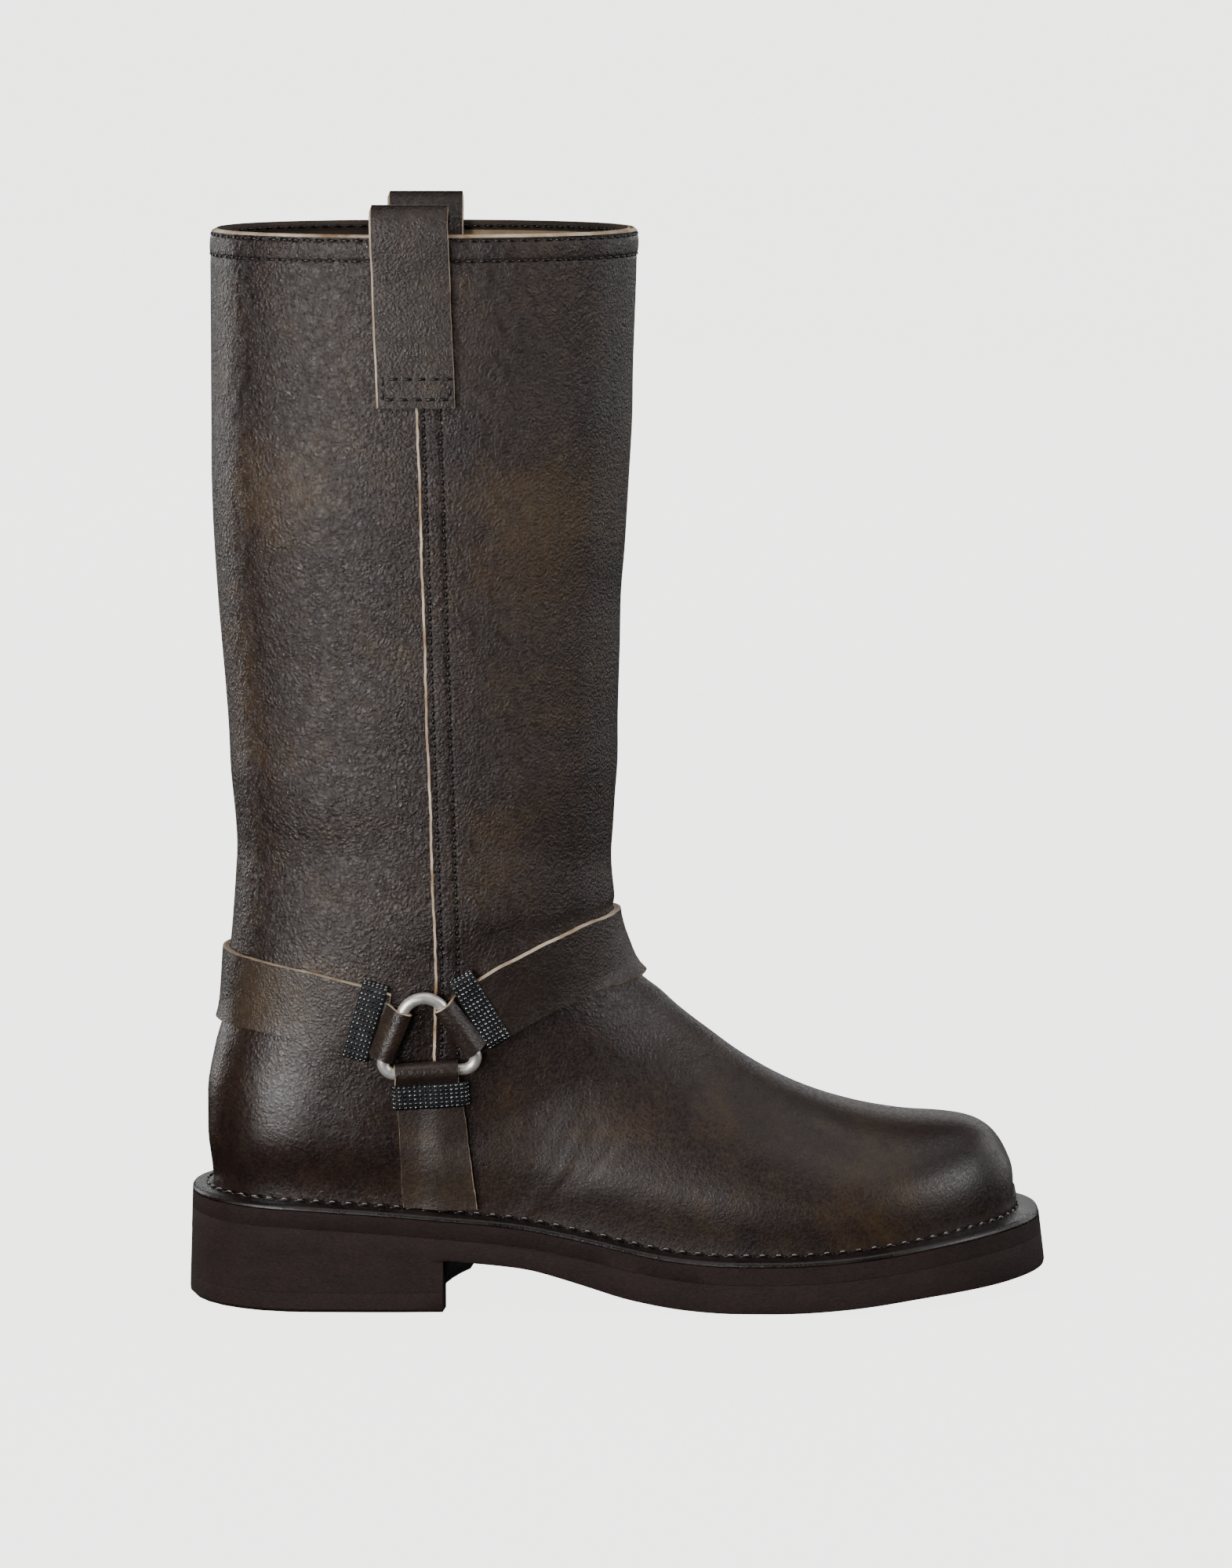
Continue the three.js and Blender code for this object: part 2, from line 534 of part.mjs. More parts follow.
const heelBlock = solid(layer([
  { z: overHeel(below(treadZ, FIT)), reach: reachAt(soleThickness) },
  { z: constant(TOP_LIFT + FIT), reach: reachAt(depthTo(TOP_LIFT)) },
])).subtract(breastCut);
const topLift = solid(layer([
  { z: constant(TOP_LIFT), reach: reachAt(depthTo(TOP_LIFT)) },
  { z: constant(EDGE), reach: reachAt(depthTo(EDGE)) },
  { z: constant(0), reach: reachAt(depthTo(0), EDGE) },
])).subtract(breastCut);

// Upper: the form with its lap, hollowed by the form one wall inside, open at the rim and over the
// insole.
const inside = grownForm(-WALL, ROUND_INSIDE);
const outside = upperForm(0);
const upper = outside.subtract(inside).subtract(belowLine(seatZ)).subtract(aboveRim);

const insole = grownForm(-WALL - FIT, ROUND_INSIDE)
  .subtract(belowLine(seatZ))
  .intersect(belowLine((x) => seatZ(x) + INSOLE));

// A place on the form seen in the side view: its section is the one whose plane passes through it.
function sideY(x, z, side) {
  let above = 0;
  let under = LAST_ROW;
  for (let step = 0; step < 30; step += 1) {
    const row = (above + under) / 2;
    const { fx, fz, bx, bz } = sectionAt(row);
    if ((fx - bx) * (z - bz) - (fz - bz) * (x - bx) < 0) above = row;
    else under = row;
  }
  const section = sectionAt(above);
  const run = new THREE.Vector2(section.fx - section.bx, section.fz - section.bz);
  const share = new THREE.Vector2(x - section.bx, z - section.bz).dot(run) / run.lengthSq();
  return middleY(x, z) + side * planHalf(x, z, side) * crownRound(section, share);
}

// Ring: three corners, each with its place from the middle and the radius of the wire's middle line, in
// ring sizes.
const RING = [
  { ahead: -0.06, up: 0.387, radius: 0.375 },
  { ahead: -0.522, up: -0.328, radius: 0.2 },
  { ahead: 0.598, up: -0.27, radius: 0.2 },
];
const ringCorners = RING.map(({ ahead, up, radius }) => (
  { at: new THREE.Vector2(ahead, up).multiplyScalar(RING_SIZE), radius: radius * RING_SIZE }
));

// The straight side from one corner to the next, with the direction that points away from the ring.
function ringSide(from, to) {
  const a = ringCorners[from];
  const b = ringCorners[to];
  const run = b.at.clone().sub(a.at);
  const length = run.length();
  const lean = (a.radius - b.radius) / length;
  const unit = run.divideScalar(length);
  const square = new THREE.Vector2(unit.y, -unit.x).multiplyScalar(Math.sqrt(1 - lean * lean));
  const out = unit.multiplyScalar(lean).add(square);
  const start = a.at.clone().addScaledVector(out, a.radius);
  const end = b.at.clone().addScaledVector(out, b.radius);
  return { out, start, end, middle: start.clone().add(end).divideScalar(2), length: start.distanceTo(end) };
}
const SIDES = { front: ringSide(2, 0), rear: ringSide(0, 1), under: ringSide(1, 2) };

// Where the ring lies on each side of the ankle: in the plane that touches the upper there.
const WRAP_RADIUS = WIRE / 2 + FIT + STRAP_LAYER;
function ringFrame(side) {
  const step = 6;
  const at = (dx, dz) => new THREE.Vector3(RING_X + dx, sideY(RING_X + dx, RING_Z + dz, side), RING_Z + dz);
  const ahead = at(step, 0).sub(at(-step, 0)).normalize();
  const up = at(0, step).sub(at(0, -step)).normalize();
  const out = ahead.clone().cross(up).normalize().multiplyScalar(-side);
  up.copy(out).cross(ahead).multiplyScalar(-side);
  const origin = at(0, 0).addScaledVector(out, LAP + FIT + WRAP_RADIUS);
  return new THREE.Matrix4().makeBasis(ahead, up, out).setPosition(origin);
}
const FLANKS = [
  { flank: 'lateral', side: -1, from: -REACH, to: SHAFT_AXIS_Y, loopX: LOOP_LATERAL_X },
  { flank: 'medial', side: 1, from: SHAFT_AXIS_Y, to: REACH, loopX: LOOP_MEDIAL_X },
].map((flank) => ({ ...flank, frame: ringFrame(flank.side) }));

// Puts a piece in a ring's frame. The far flank's frame is a mirror image, so its triangles are turned
// round.
function placed(geometry, frame) {
  const result = geometry.clone().applyMatrix4(frame);
  if (frame.determinant() > 0) return result;
  const bare = result.index ? result.toNonIndexed() : result;
  const { array } = bare.attributes.position;
  for (let i = 0; i < array.length; i += 9) {
    for (let k = i; k < i + 3; k += 1) [array[k], array[k + 3]] = [array[k + 3], array[k]];
  }
  return bare;
}

// The wire's middle line: each third of it is a corner's arc and the straight side after it.
const RING_ORDER = [SIDES.front, SIDES.rear, SIDES.under];
const ARC_SHARE = 0.6;
class RingLine extends THREE.Curve {
  getPoint(share, target = new THREE.Vector3()) {
    const third = Math.min(2, Math.floor(share * 3));
    const before = RING_ORDER[third].out.angle();
    const after = RING_ORDER[(third + 1) % 3];
    const t = share * 3 - third;
    if (t > ARC_SHARE) {
      const { x, y } = after.start.clone().lerp(after.end, (t - ARC_SHARE) / (1 - ARC_SHARE));
      return target.set(x, y, 0);
    }
    const sweep = (after.out.angle() - before + 4 * Math.PI) % (2 * Math.PI);
    const angle = before + (sweep * t) / ARC_SHARE;
    const { at, radius } = ringCorners[third];
    return target.set(at.x + Math.cos(angle) * radius, at.y + Math.sin(angle) * radius, 0);
  }
}
const ringWire = new THREE.TubeGeometry(new RingLine(), 24, WIRE / 2, 8, true);

// A strap's sewn end, grown by a distance: two layers that part round the wire and close again. It tilts
// in to meet the upper where its layers have closed.
function wrap(name, { side, frame }, growth) {
  const { out, middle, length } = SIDES[name];
  const tail = middle.clone().addScaledVector(out, WRAP_TAIL);
  const seat = new THREE.Vector3(RING_X + tail.x, 0, RING_Z + tail.y);
  seat.y = sideY(seat.x, seat.z, side);
  const height = seat.applyMatrix4(frame.clone().invert()).z + (name === 'rear' ? 0 : LAP) + FIT;
  const tilt = Math.atan2(height + WRAP_RADIUS, WRAP_TAIL);

  const width = length + WRAP_SLACK + 2 * growth;
  const radius = WRAP_RADIUS + growth;
  const top = STRAP - WRAP_RADIUS + growth;
  const profile = new THREE.Shape();
  profile.moveTo(WRAP_TAIL + growth, -radius);
  profile.lineTo(WRAP_TAIL + growth, top);
  profile.lineTo(WRAP_RADIUS * 1.25, top);
  profile.absarc(0, 0, radius, WRAP_MOUTH * RAD, 1.5 * Math.PI, false);
  if (growth === 0) {
    const eye = new THREE.Path();
    eye.absarc(0, 0, WIRE / 2 + FIT, 0, 2 * Math.PI, true);
    profile.holes.push(eye);
  }
  const block = new THREE.ExtrudeGeometry(profile, { depth: width, bevelEnabled: false, curveSegments: 8 });
  const across = new THREE.Vector3(out.y, -out.x, 0);
  const away = new THREE.Vector3(out.x * Math.cos(tilt), out.y * Math.cos(tilt), Math.sin(tilt));
  const place = new THREE.Matrix4().makeBasis(away, across.clone().cross(away), across);
  place.setPosition(middle.x - (across.x * width) / 2, middle.y - (across.y * width) / 2, 0);
  return solid(placed(block.applyMatrix4(place), frame));
}

// Middle lines of the straps in the side view after they leave the ring, in ankle lengths from its
// middle, with the width as a share of the strap's.
const STRAPS = {
  rear: [
    { ahead: -0.293, up: 0.081, width: 1.0 },
    { ahead: -0.421, up: 0.099, width: 1.03 },
    { ahead: -0.543, up: 0.107, width: 1.07 },
    { ahead: -0.66, up: 0.112, width: 1.07 },
  ],
  front: [
    { ahead: 0.227, up: 0.112, width: 1.0 },
    { ahead: 0.342, up: 0.165, width: 1.02 },
    { ahead: 0.443, up: 0.199, width: 1.04 },
    { ahead: 0.543, up: 0.21, width: 1.08 },
    { ahead: 0.68, up: 0.216, width: 1.08 },
  ],
  under: [
    { ahead: 0.012, up: -0.2, width: 0.96 },
    { ahead: 0.021, up: -0.3, width: 1.0 },
    { ahead: 0.033, up: -0.44, width: 1.07 },
    { ahead: 0.04, up: -0.54, width: 1.09 },
  ],
};
function strapOutline(name, growth) {
  const { out, middle, length } = SIDES[name];
  const away = (reach) => middle.clone().addScaledVector(out, reach);
  const start = { at: away(WRAP_TAIL / 2), half: length / 2 };
  const flat = { at: away(WRAP_TAIL * 1.4), half: STRAP_WIDTH / 2 };
  const rest = STRAPS[name].map(({ ahead, up, width }) => (
    { at: new THREE.Vector2(ahead, up).multiplyScalar(ANKLE_LENGTH), half: (width * STRAP_WIDTH) / 2 }
  ));
  const line = [start, flat, ...rest];
  const edge = (sign) => line.map(({ at, half }, i) => {
    const before = line[Math.max(0, i - 1)].at;
    const after = line[Math.min(line.length - 1, i + 1)].at;
    const run = after.clone().sub(before).normalize();
    const reach = sign * (half + growth);
    return [RING_X + at.x - run.y * reach, RING_Z + at.y + run.x * reach];
  });
  const loop = [...edge(1), ...edge(-1).reverse()];
  return THREE.ShapeUtils.area(loop.map(([x, y]) => ({ x, y }))) > 0 ? loop : loop.reverse();
}
function keeperOutline(name) {
  const { out, middle } = SIDES[name];
  const centre = middle.clone().addScaledVector(out, KEEPER_REACH);
  const corners = [[-1, -1], [1, -1], [1, 1], [-1, 1]];
  return corners.map(([a, b]) => {
    const off = out.clone().multiplyScalar((a * KEEPER_WIDTH) / 2);
    off.add(new THREE.Vector2(-out.y, out.x).multiplyScalar((b * KEEPER_LENGTH) / 2));
    return [RING_X + centre.x + off.x, RING_Z + centre.y + off.y];
  });
}

const underForm = upperForm(FIT);
const strapForm = upperForm(FIT + STRAP);
const strapRoom = upperForm(FIT + STRAP + FIT);
const keeperForm = upperForm(FIT + STRAP + FIT + KEEPER);
const overWelt = belowLine((x) => weltTop(x) + FIT);

// A strap that runs from ring to ring takes both flanks, the strap under the ring only its own.
function strap(name, flanks) {
  const { from } = flanks[0];
  const { to } = flanks[flanks.length - 1];
  let body = strapForm.intersect(sideBlock(strapOutline(name, 0), from, to));
  flanks.forEach((flank) => {
    body = body.add(wrap(name, flank, 0));
  });
  return body.subtract(underForm).subtract(overWelt);
}
function keeper(name, flank) {
  const { from, to } = flank;
  const room = strapRoom.intersect(sideBlock(strapOutline(name, FIT + WRAP_SLACK / 2), from, to));
  return keeperForm
    .add(wrap(name, flank, FIT + KEEPER))
    .intersect(sideBlock(keeperOutline(name), from, to))
    .subtract(underForm)
    .subtract(room)
    .subtract(wrap(name, flank, FIT));
}

// Pull loop: one strip folded over the rim. Each row of its path is a height over the rim and a distance
// out from the form.
const LOOP_PATH = (() => {
  const seatOut = LAP + 1.5 * FIT + LOOP_LEATHER / 2;
  const seatIn = -(WALL + LOOP_ROOM + LOOP_LEATHER / 2);
  const stand = (drop) => LOOP_STAND * smoothstep(drop, -0.3 * LOOP_DROP, 0);
  const outer = [1, 0.78, 0.55, 0.3, 0.1, 0].map((share) => -share * LOOP_DROP);
  const inner = [0, 0.15, 0.4, 1].map((share) => -share * LOOP_DROP_INSIDE);
  const middle = (seatOut + seatIn) / 2;
  const half = (seatOut - seatIn) / 2 + LOOP_STAND;
  const arch = [36, 72, 108, 144].map((degrees) => ({
    up: (LOOP_RISE - LOOP_LEATHER / 2) * Math.sin(degrees * RAD),
    out: middle + half * Math.cos(degrees * RAD),
    lean: 0,
  }));
  return [
    ...outer.map((up) => ({ up, out: seatOut + stand(up), lean: -up / LOOP_DROP })),
    ...arch,
    ...inner.map((up) => ({ up, out: seatIn - stand(up), lean: 0 })),
  ];
})();
function pullLoop({ side, loopX }) {
  const columns = [-0.5, -0.17, 0.17, 0.5];
  const place = (row, column, shift) => {
    const before = LOOP_PATH[Math.max(0, row - 1)];
    const here = LOOP_PATH[row];
    const after = LOOP_PATH[Math.min(LOOP_PATH.length - 1, row + 1)];
    const run = new THREE.Vector2(after.out - before.out, after.up - before.up).normalize();
    const x = loopX + column * LOOP_WIDTH + here.lean * LOOP_LEAN;
    const z = COLLAR_HEIGHT + here.up;
    const out = here.out + run.y * shift;
    return new THREE.Vector3(x, sideY(x, Math.min(z, COLLAR_HEIGHT), side) + side * out, z - run.x * shift);
  };
  const faces = [LOOP_LEATHER / 2, -LOOP_LEATHER / 2].map((shift) => (
    LOOP_PATH.flatMap((_, row) => columns.map((column) => place(row, column, shift)))
  ));
  const width = columns.length;
  const height = LOOP_PATH.length;
  const index = [];
  const quad = (a, b, c, d) => (side < 0 ? index.push(a, b, c, a, c, d) : index.push(a, c, b, a, d, c));
  const inner = width * height;
  for (let row = 0; row < height - 1; row += 1) {
    for (let column = 0; column < width - 1; column += 1) {
      const a = row * width + column;
      quad(a, a + 1, a + width + 1, a + width);
      quad(inner + a, inner + a + width, inner + a + width + 1, inner + a + 1);
    }
    const left = row * width;
    const right = left + width - 1;
    quad(left, left + width, inner + left + width, inner + left);
    quad(right, inner + right, inner + right + width, right + width);
  }
  for (let column = 0; column < width - 1; column += 1) {
    const last = (height - 1) * width + column;
    quad(column, inner + column, inner + column + 1, column + 1);
    quad(last, last + 1, inner + last + 1, inner + last);
  }
  return meshOf(faces.flat(), index);
}

const LEATHER = { colour: 0x3a2f2a, roughness: 0.55 };
const METAL = { colour: 0xb9b5ae, roughness: 0.3, metalness: 1 };
const BEADS = { colour: 0x3d3b3c, roughness: 0.45, metalness: 0.6 };
const PARTS = [
  { name: 'outsole', geometry: outsole, colour: 0x352a29, roughness: 0.75 },
  { name: 'midsole', geometry: midsole, colour: 0x352a29, roughness: 0.7 },
  { name: 'welt', geometry: geometryOf(welt), colour: 0x2a2120, roughness: 0.4 },
  { name: 'heel_block', geometry: geometryOf(heelBlock), colour: 0x352a29, roughness: 0.75 },
  { name: 'heel_top_lift', geometry: geometryOf(topLift), colour: 0x2b2322, roughness: 0.8 },
  { name: 'insole', geometry: geometryOf(insole), colour: 0xb49a78, roughness: 0.7 },
  { name: 'upper', geometry: geometryOf(upper), ...LEATHER },
  { name: 'strap_rear', geometry: geometryOf(strap('rear', FLANKS)), ...LEATHER },
  { name: 'strap_front', geometry: geometryOf(strap('front', FLANKS)), ...LEATHER },
];
FLANKS.forEach((flank) => {
  const side = flank.flank;
  PARTS.push({ name: `strap_under_${side}`, geometry: geometryOf(strap('under', [flank])), ...LEATHER });
  PARTS.push({ name: `ring_${side}`, geometry: placed(ringWire, flank.frame), ...METAL });
  PARTS.push({ name: `pull_loop_${side}`, geometry: pullLoop(flank), ...LEATHER });
  Object.keys(SIDES).forEach((name) => {
    PARTS.push({ name: `keeper_${name}_${side}`, geometry: geometryOf(keeper(name, flank)), ...BEADS });
  });
});

const boot = new THREE.Group();
PARTS.forEach(({ name, geometry, colour, roughness, metalness = 0 }) => {
  const material = new THREE.MeshStandardMaterial({ color: colour, roughness, metalness });
  const mesh = new THREE.Mesh(geometry, material);
  mesh.name = name;
  boot.add(mesh);
});

export default boot;
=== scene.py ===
import math

import bpy
import numpy as np
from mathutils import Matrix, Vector


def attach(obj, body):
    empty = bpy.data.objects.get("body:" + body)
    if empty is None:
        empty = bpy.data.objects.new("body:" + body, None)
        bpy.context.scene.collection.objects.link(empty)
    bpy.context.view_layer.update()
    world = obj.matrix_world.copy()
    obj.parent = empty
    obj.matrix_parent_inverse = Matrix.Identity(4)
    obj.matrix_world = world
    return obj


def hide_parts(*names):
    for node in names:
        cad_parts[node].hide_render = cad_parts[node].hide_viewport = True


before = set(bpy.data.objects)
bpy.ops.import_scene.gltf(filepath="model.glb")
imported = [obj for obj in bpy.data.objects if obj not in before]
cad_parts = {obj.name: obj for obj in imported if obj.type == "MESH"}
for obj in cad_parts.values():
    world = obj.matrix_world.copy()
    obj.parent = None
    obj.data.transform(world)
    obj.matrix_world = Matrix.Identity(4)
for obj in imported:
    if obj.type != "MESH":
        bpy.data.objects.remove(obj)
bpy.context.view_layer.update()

# CAMERA: a product photographer's long lens, a little over two metres off the outer side of the boot, at
# about knee height and tipped 8 degrees down. The photograph is upright, so its height sets the lens.
camera_data = bpy.data.cameras.new("camera")
camera_data.sensor_fit = "VERTICAL"
camera_data.sensor_height = 36.0
camera_data.lens = 147.64
camera_data.clip_end = 20.0
camera = bpy.data.objects.new("camera", camera_data)
camera.location = (0.10819, -2.107, 0.4661)
camera.rotation_euler = (math.radians(90 - 7.9957), 0, 0)
bpy.context.scene.collection.objects.link(camera)
bpy.context.scene.camera = camera


# UPPER, REAR PANEL AND LINING: a sock of cowhide with a tan lining, wet-lasted over a wooden last. It
# runs all round, from the welt to the collar. The last's shape comes from cross sections, as on a last
# maker's sheet.
FOOT_LENGTH, HEEL_BACK, INSTEP_RISE = 267.8, -25.5, 110.0
BALL_WIDTH, HEEL_WIDTH, SIDE_BULGE = 85.5, 59.4, 2.2
COLLAR, SHAFT_LENGTH, SHAFT_WIDTH = 354.0, 139.4, 96.0
ANKLE_LENGTH, ANKLE_WIDTH, AXIS_X, AXIS_Y = 125.4, 79.0, 44.5, 0.2
HEEL_HEIGHT, BALL_HEIGHT, WELT_THICK, TOE_SPRING = 37.3, 17.8, 2.4, 7.0
WALL, LAP, FIT, OVAL = 1.8, 1.2, 0.3, 2.15

# plan at the welt: along the foot, heel, lateral and medial half widths, middle line
PLAN = np.array([
    (0.0, 0.5, 0.0, 0.0, 0.0), (0.2, 0.5, 0.0, 0.0, 0.0), (0.32, 0.4, 0.06, 0.045, 0.006),
    (0.395, 0.26, 0.155, 0.145, 0.018), (0.47, 0.13, 0.28, 0.25, 0.041), (0.545, 0.05, 0.38, 0.345, 0.07),
    (0.62, 0.0, 0.463, 0.42, 0.1), (0.695, 0.0, 0.502, 0.444, 0.129), (0.77, 0.0, 0.52, 0.437, 0.158),
    (0.845, 0.0, 0.53, 0.405, 0.187), (0.92, 0.0, 0.53, 0.372, 0.21), (1.0, 0.0, 0.53, 0.35, 0.228)])
# height of the feather line: along the foot, share of the heel's lift
LIFT = np.array([
    (-0.03, 1.0), (0.035, 0.965), (0.106, 0.935), (0.165, 0.885), (0.212, 0.84), (0.29, 0.74),
    (0.346, 0.665), (0.386, 0.59), (0.427, 0.48), (0.476, 0.34), (0.507, 0.235), (0.549, 0.115),
    (0.584, 0.045), (0.615, 0.012), (0.64, 0.0), (1.1, 0.0)])
# leg sections: height, swell, spread, lean
LEG = np.array([
    (1.06, 0.985, 1.0, 0.0095), (1.0, 0.985, 1.0, 0.009), (0.942, 1.0, 1.0, 0.006), (0.849, 0.95, 0.96, 0.003),
    (0.756, 0.89, 0.91, -0.001), (0.663, 0.85, 0.85, -0.003), (0.569, 0.75, 0.76, -0.006),
    (0.475, 0.6, 0.64, -0.006), (0.381, 0.42, 0.5, -0.0045), (0.287, 0.25, 0.36, -0.0008),
    (0.192, 0.11, 0.22, 0.0008), (0.097, -0.035, 0.1, 0.0033), (0.035, -0.02, 0.0, 0.0018)])
# foot sections: front along, front rise, back along, back rise, widest, crown
FOOT = np.array([
    (0.4975, 1, 0.0255, 0.833, 0.5, 2.1), (0.4955, 0.967, 0.0207, 0.704, 0.48, 2.1),
    (0.5, 0.911, 0.0162, 0.556, 0.46, 2.05), (0.5076, 0.861, 0.0015, 0.418, 0.44, 2.0),
    (0.5178, 0.808, -0.0079, 0.277, 0.42, 1.95), (0.533, 0.77, -0.0079, 0.159, 0.4, 1.95),
    (0.5543, 0.739, -0.003, 0.051, 0.39, 1.9), (0.5735, 0.702, 0.0007, -0.057, 0.38, 1.9),
    (0.5933, 0.667, 0.0056, -0.164, 0.38, 1.9), (0.6181, 0.624, 0.0956, -0.178, 0.38, 1.9),
    (0.6466, 0.571, 0.2155, -0.178, 0.38, 1.9), (0.6822, 0.513, 0.3355, -0.168, 0.38, 1.95),
    (0.7253, 0.455, 0.4629, -0.164, 0.38, 2.0), (0.7702, 0.405, 0.5828, -0.148, 0.38, 2.05),
    (0.819, 0.36, 0.6953, -0.152, 0.38, 2.1), (0.8677, 0.326, 0.8002, -0.153, 0.38, 2.2),
    (0.9052, 0.308, 0.8715, -0.155, 0.38, 2.3), (0.9325, 0.291, 0.9164, -0.146, 0.38, 2.35),
    (0.952, 0.271, 0.9445, -0.143, 0.38, 2.4), (0.9678, 0.244, 0.96, -0.136, 0.38, 2.4),
    (0.9802, 0.208, 0.9742, -0.129, 0.4, 2.4), (0.9899, 0.164, 0.9842, -0.122, 0.43, 2.4),
    (0.9966, 0.117, 0.9908, -0.114, 0.47, 2.4), (0.9983, 0.067, 0.9935, -0.105, 0.5, 2.4)])


def ease(value, start, end):
    t = np.clip((value - start) / (end - start), 0, 1)
    return t * t * (3 - 2 * t)


def blend_to(a, b, t):
    return a + (b - a) * t


def fair_line(xs, ys):
    """A smooth line through the points of a table that never overshoots them."""
    steps = np.diff(ys) / np.diff(xs)
    slopes = np.concatenate([steps[:1], np.zeros(len(xs) - 2), steps[-1:]])
    same_way = steps[:-1] * steps[1:] > 0
    total = np.where(same_way, steps[:-1] + steps[1:], 1)
    slopes[1:-1] = np.where(same_way, 2 * steps[:-1] * steps[1:] / total, 0)

    def at(x):
        v = np.clip(x, xs[0], xs[-1])
        i = np.clip(np.searchsorted(xs, v) - 1, 0, len(xs) - 2)
        width = xs[i + 1] - xs[i]
        t = (v - xs[i]) / width
        start = ys[i] * (1 + 2 * t) * (1 - t) ** 2 + slopes[i] * width * t * (1 - t) ** 2
        return start + ys[i + 1] * t * t * (3 - 2 * t) + slopes[i + 1] * width * t * t * (t - 1)
    return at


def along(x):
    return (x - HEEL_BACK) / FOOT_LENGTH


def at_along(share):
    return HEEL_BACK + share * FOOT_LENGTH


plan_heel, plan_lateral, plan_medial, plan_middle = (fair_line(PLAN[:, 0], PLAN[:, k]) for k in (1, 2, 3, 4))
heel_lift = fair_line(LIFT[:, 0], LIFT[:, 1])
TOE_X = at_along(1) - LAP


def welt_top(x):
    spring = TOE_SPRING * ease(x, 160.0, at_along(1.035))
    return BALL_HEIGHT + (HEEL_HEIGHT - BALL_HEIGHT) * heel_lift(along(x)) + spring


throat = welt_top(at_along(0.5)) + INSTEP_RISE
leg_length = blend_to(ANKLE_LENGTH, SHAFT_LENGTH, LEG[:, 1])
leg_middle = AXIS_X + LEG[:, 3] * ANKLE_LENGTH
leg_z = blend_to(throat, COLLAR, LEG[:, 0])
oval = np.full(len(LEG), OVAL)
leg_front, leg_back = leg_middle + leg_length / 2, leg_middle - leg_length / 2
leg_rows = np.stack([leg_front, leg_z, leg_back, leg_z, np.full(len(LEG), 0.5), oval], 1)
foot_front, foot_back = at_along(FOOT[:, 0]), at_along(FOOT[:, 2])
front_z = welt_top(foot_front) + FOOT[:, 1] * INSTEP_RISE
back_z = welt_top(foot_back) + FOOT[:, 3] * INSTEP_RISE
foot_rows = np.stack([foot_front, front_z, foot_back, back_z, FOOT[:, 4], FOOT[:, 5]], 1)
SECTIONS = np.concatenate([leg_rows, foot_rows])
run = np.concatenate([SECTIONS[1:], SECTIONS[-1:]]) - np.concatenate([SECTIONS[:1], SECTIONS[:-1]])
run = run[:, :2] / np.linalg.norm(run[:, :2], axis=1, keepdims=True)
SECTIONS[:, 0] += run[:, 1] * LAP
SECTIONS[:, 1] -= run[:, 0] * LAP
LAST_ROW = len(SECTIONS) - 1
section_lines = [fair_line(np.arange(len(SECTIONS), dtype=float), SECTIONS[:, k]) for k in range(6)]
heel_rows = len(LEG) + 9
back_line = fair_line(SECTIONS[:heel_rows, 3][::-1], SECTIONS[:heel_rows, 2][::-1])
leg_spread = fair_line(leg_z[::-1], LEG[:, 2][::-1])


def leg_share(x, z):
    return ease(z - welt_top(x), 0.2 * INSTEP_RISE, 0.95 * INSTEP_RISE)


def middle_y(x, z):
    return blend_to(plan_middle(along(x)) * BALL_WIDTH, AXIS_Y, leg_share(x, z))


def plan_half(x, z, side):
    """Half width of the last at a point of the side view, before the section's round top."""
    share = along(x)
    ball = np.where(side > 0, plan_medial(share), plan_lateral(share))
    foot = plan_heel(share) * HEEL_WIDTH + ball * BALL_WIDTH
    foot = foot + SIDE_BULGE * ease(z - welt_top(x), 0, 0.2 * INSTEP_RISE)
    leg = blend_to(ANKLE_WIDTH, SHAFT_WIDTH, leg_spread(z)) / 2
    curl = blend_to(34.0, ANKLE_LENGTH / 2, ease(z - welt_top(x), 0.1 * INSTEP_RISE, INSTEP_RISE))
    heel = (1 - np.clip(1 - (x - back_line(z)) / curl, 0, 1) ** OVAL) ** (1 / OVAL)
    power = np.where(side > 0, 3.0, 2.0)
    toe = (1 - np.clip((x - at_along(0.77)) / (TOE_X - at_along(0.77)), 0, 1) ** power) ** (1 / power)
    return blend_to(foot, leg, leg_share(x, z)) * heel * toe


def last_point(row, turn):
    """A point of the last: row picks the section, turn goes round from the front (0) by the inner side."""
    fx, fz, bx, bz, widest, crown = (line(row) for line in section_lines)
    share = (1 + np.cos(turn)) / 2
    side = np.sign(np.round(np.sin(turn), 6))
    x, z = blend_to(bx, fx, share), blend_to(bz, fz, share)
    top = (1 - np.clip((share - widest) / (1 - widest), 0, 1) ** crown) ** (1 / crown)
    return np.stack([x, middle_y(x, z) + side * plan_half(x, z, side) * top, z], -1)


def last_normal(row, turn):
    down = last_point(np.minimum(row + 0.05, LAST_ROW), turn) - last_point(np.maximum(row - 0.05, 0), turn)
    across = last_point(row, turn + 0.02) - last_point(row, turn - 0.02)
    out = np.cross(down, across)
    return out / np.maximum(np.linalg.norm(out, axis=-1, keepdims=True), 1e-9)


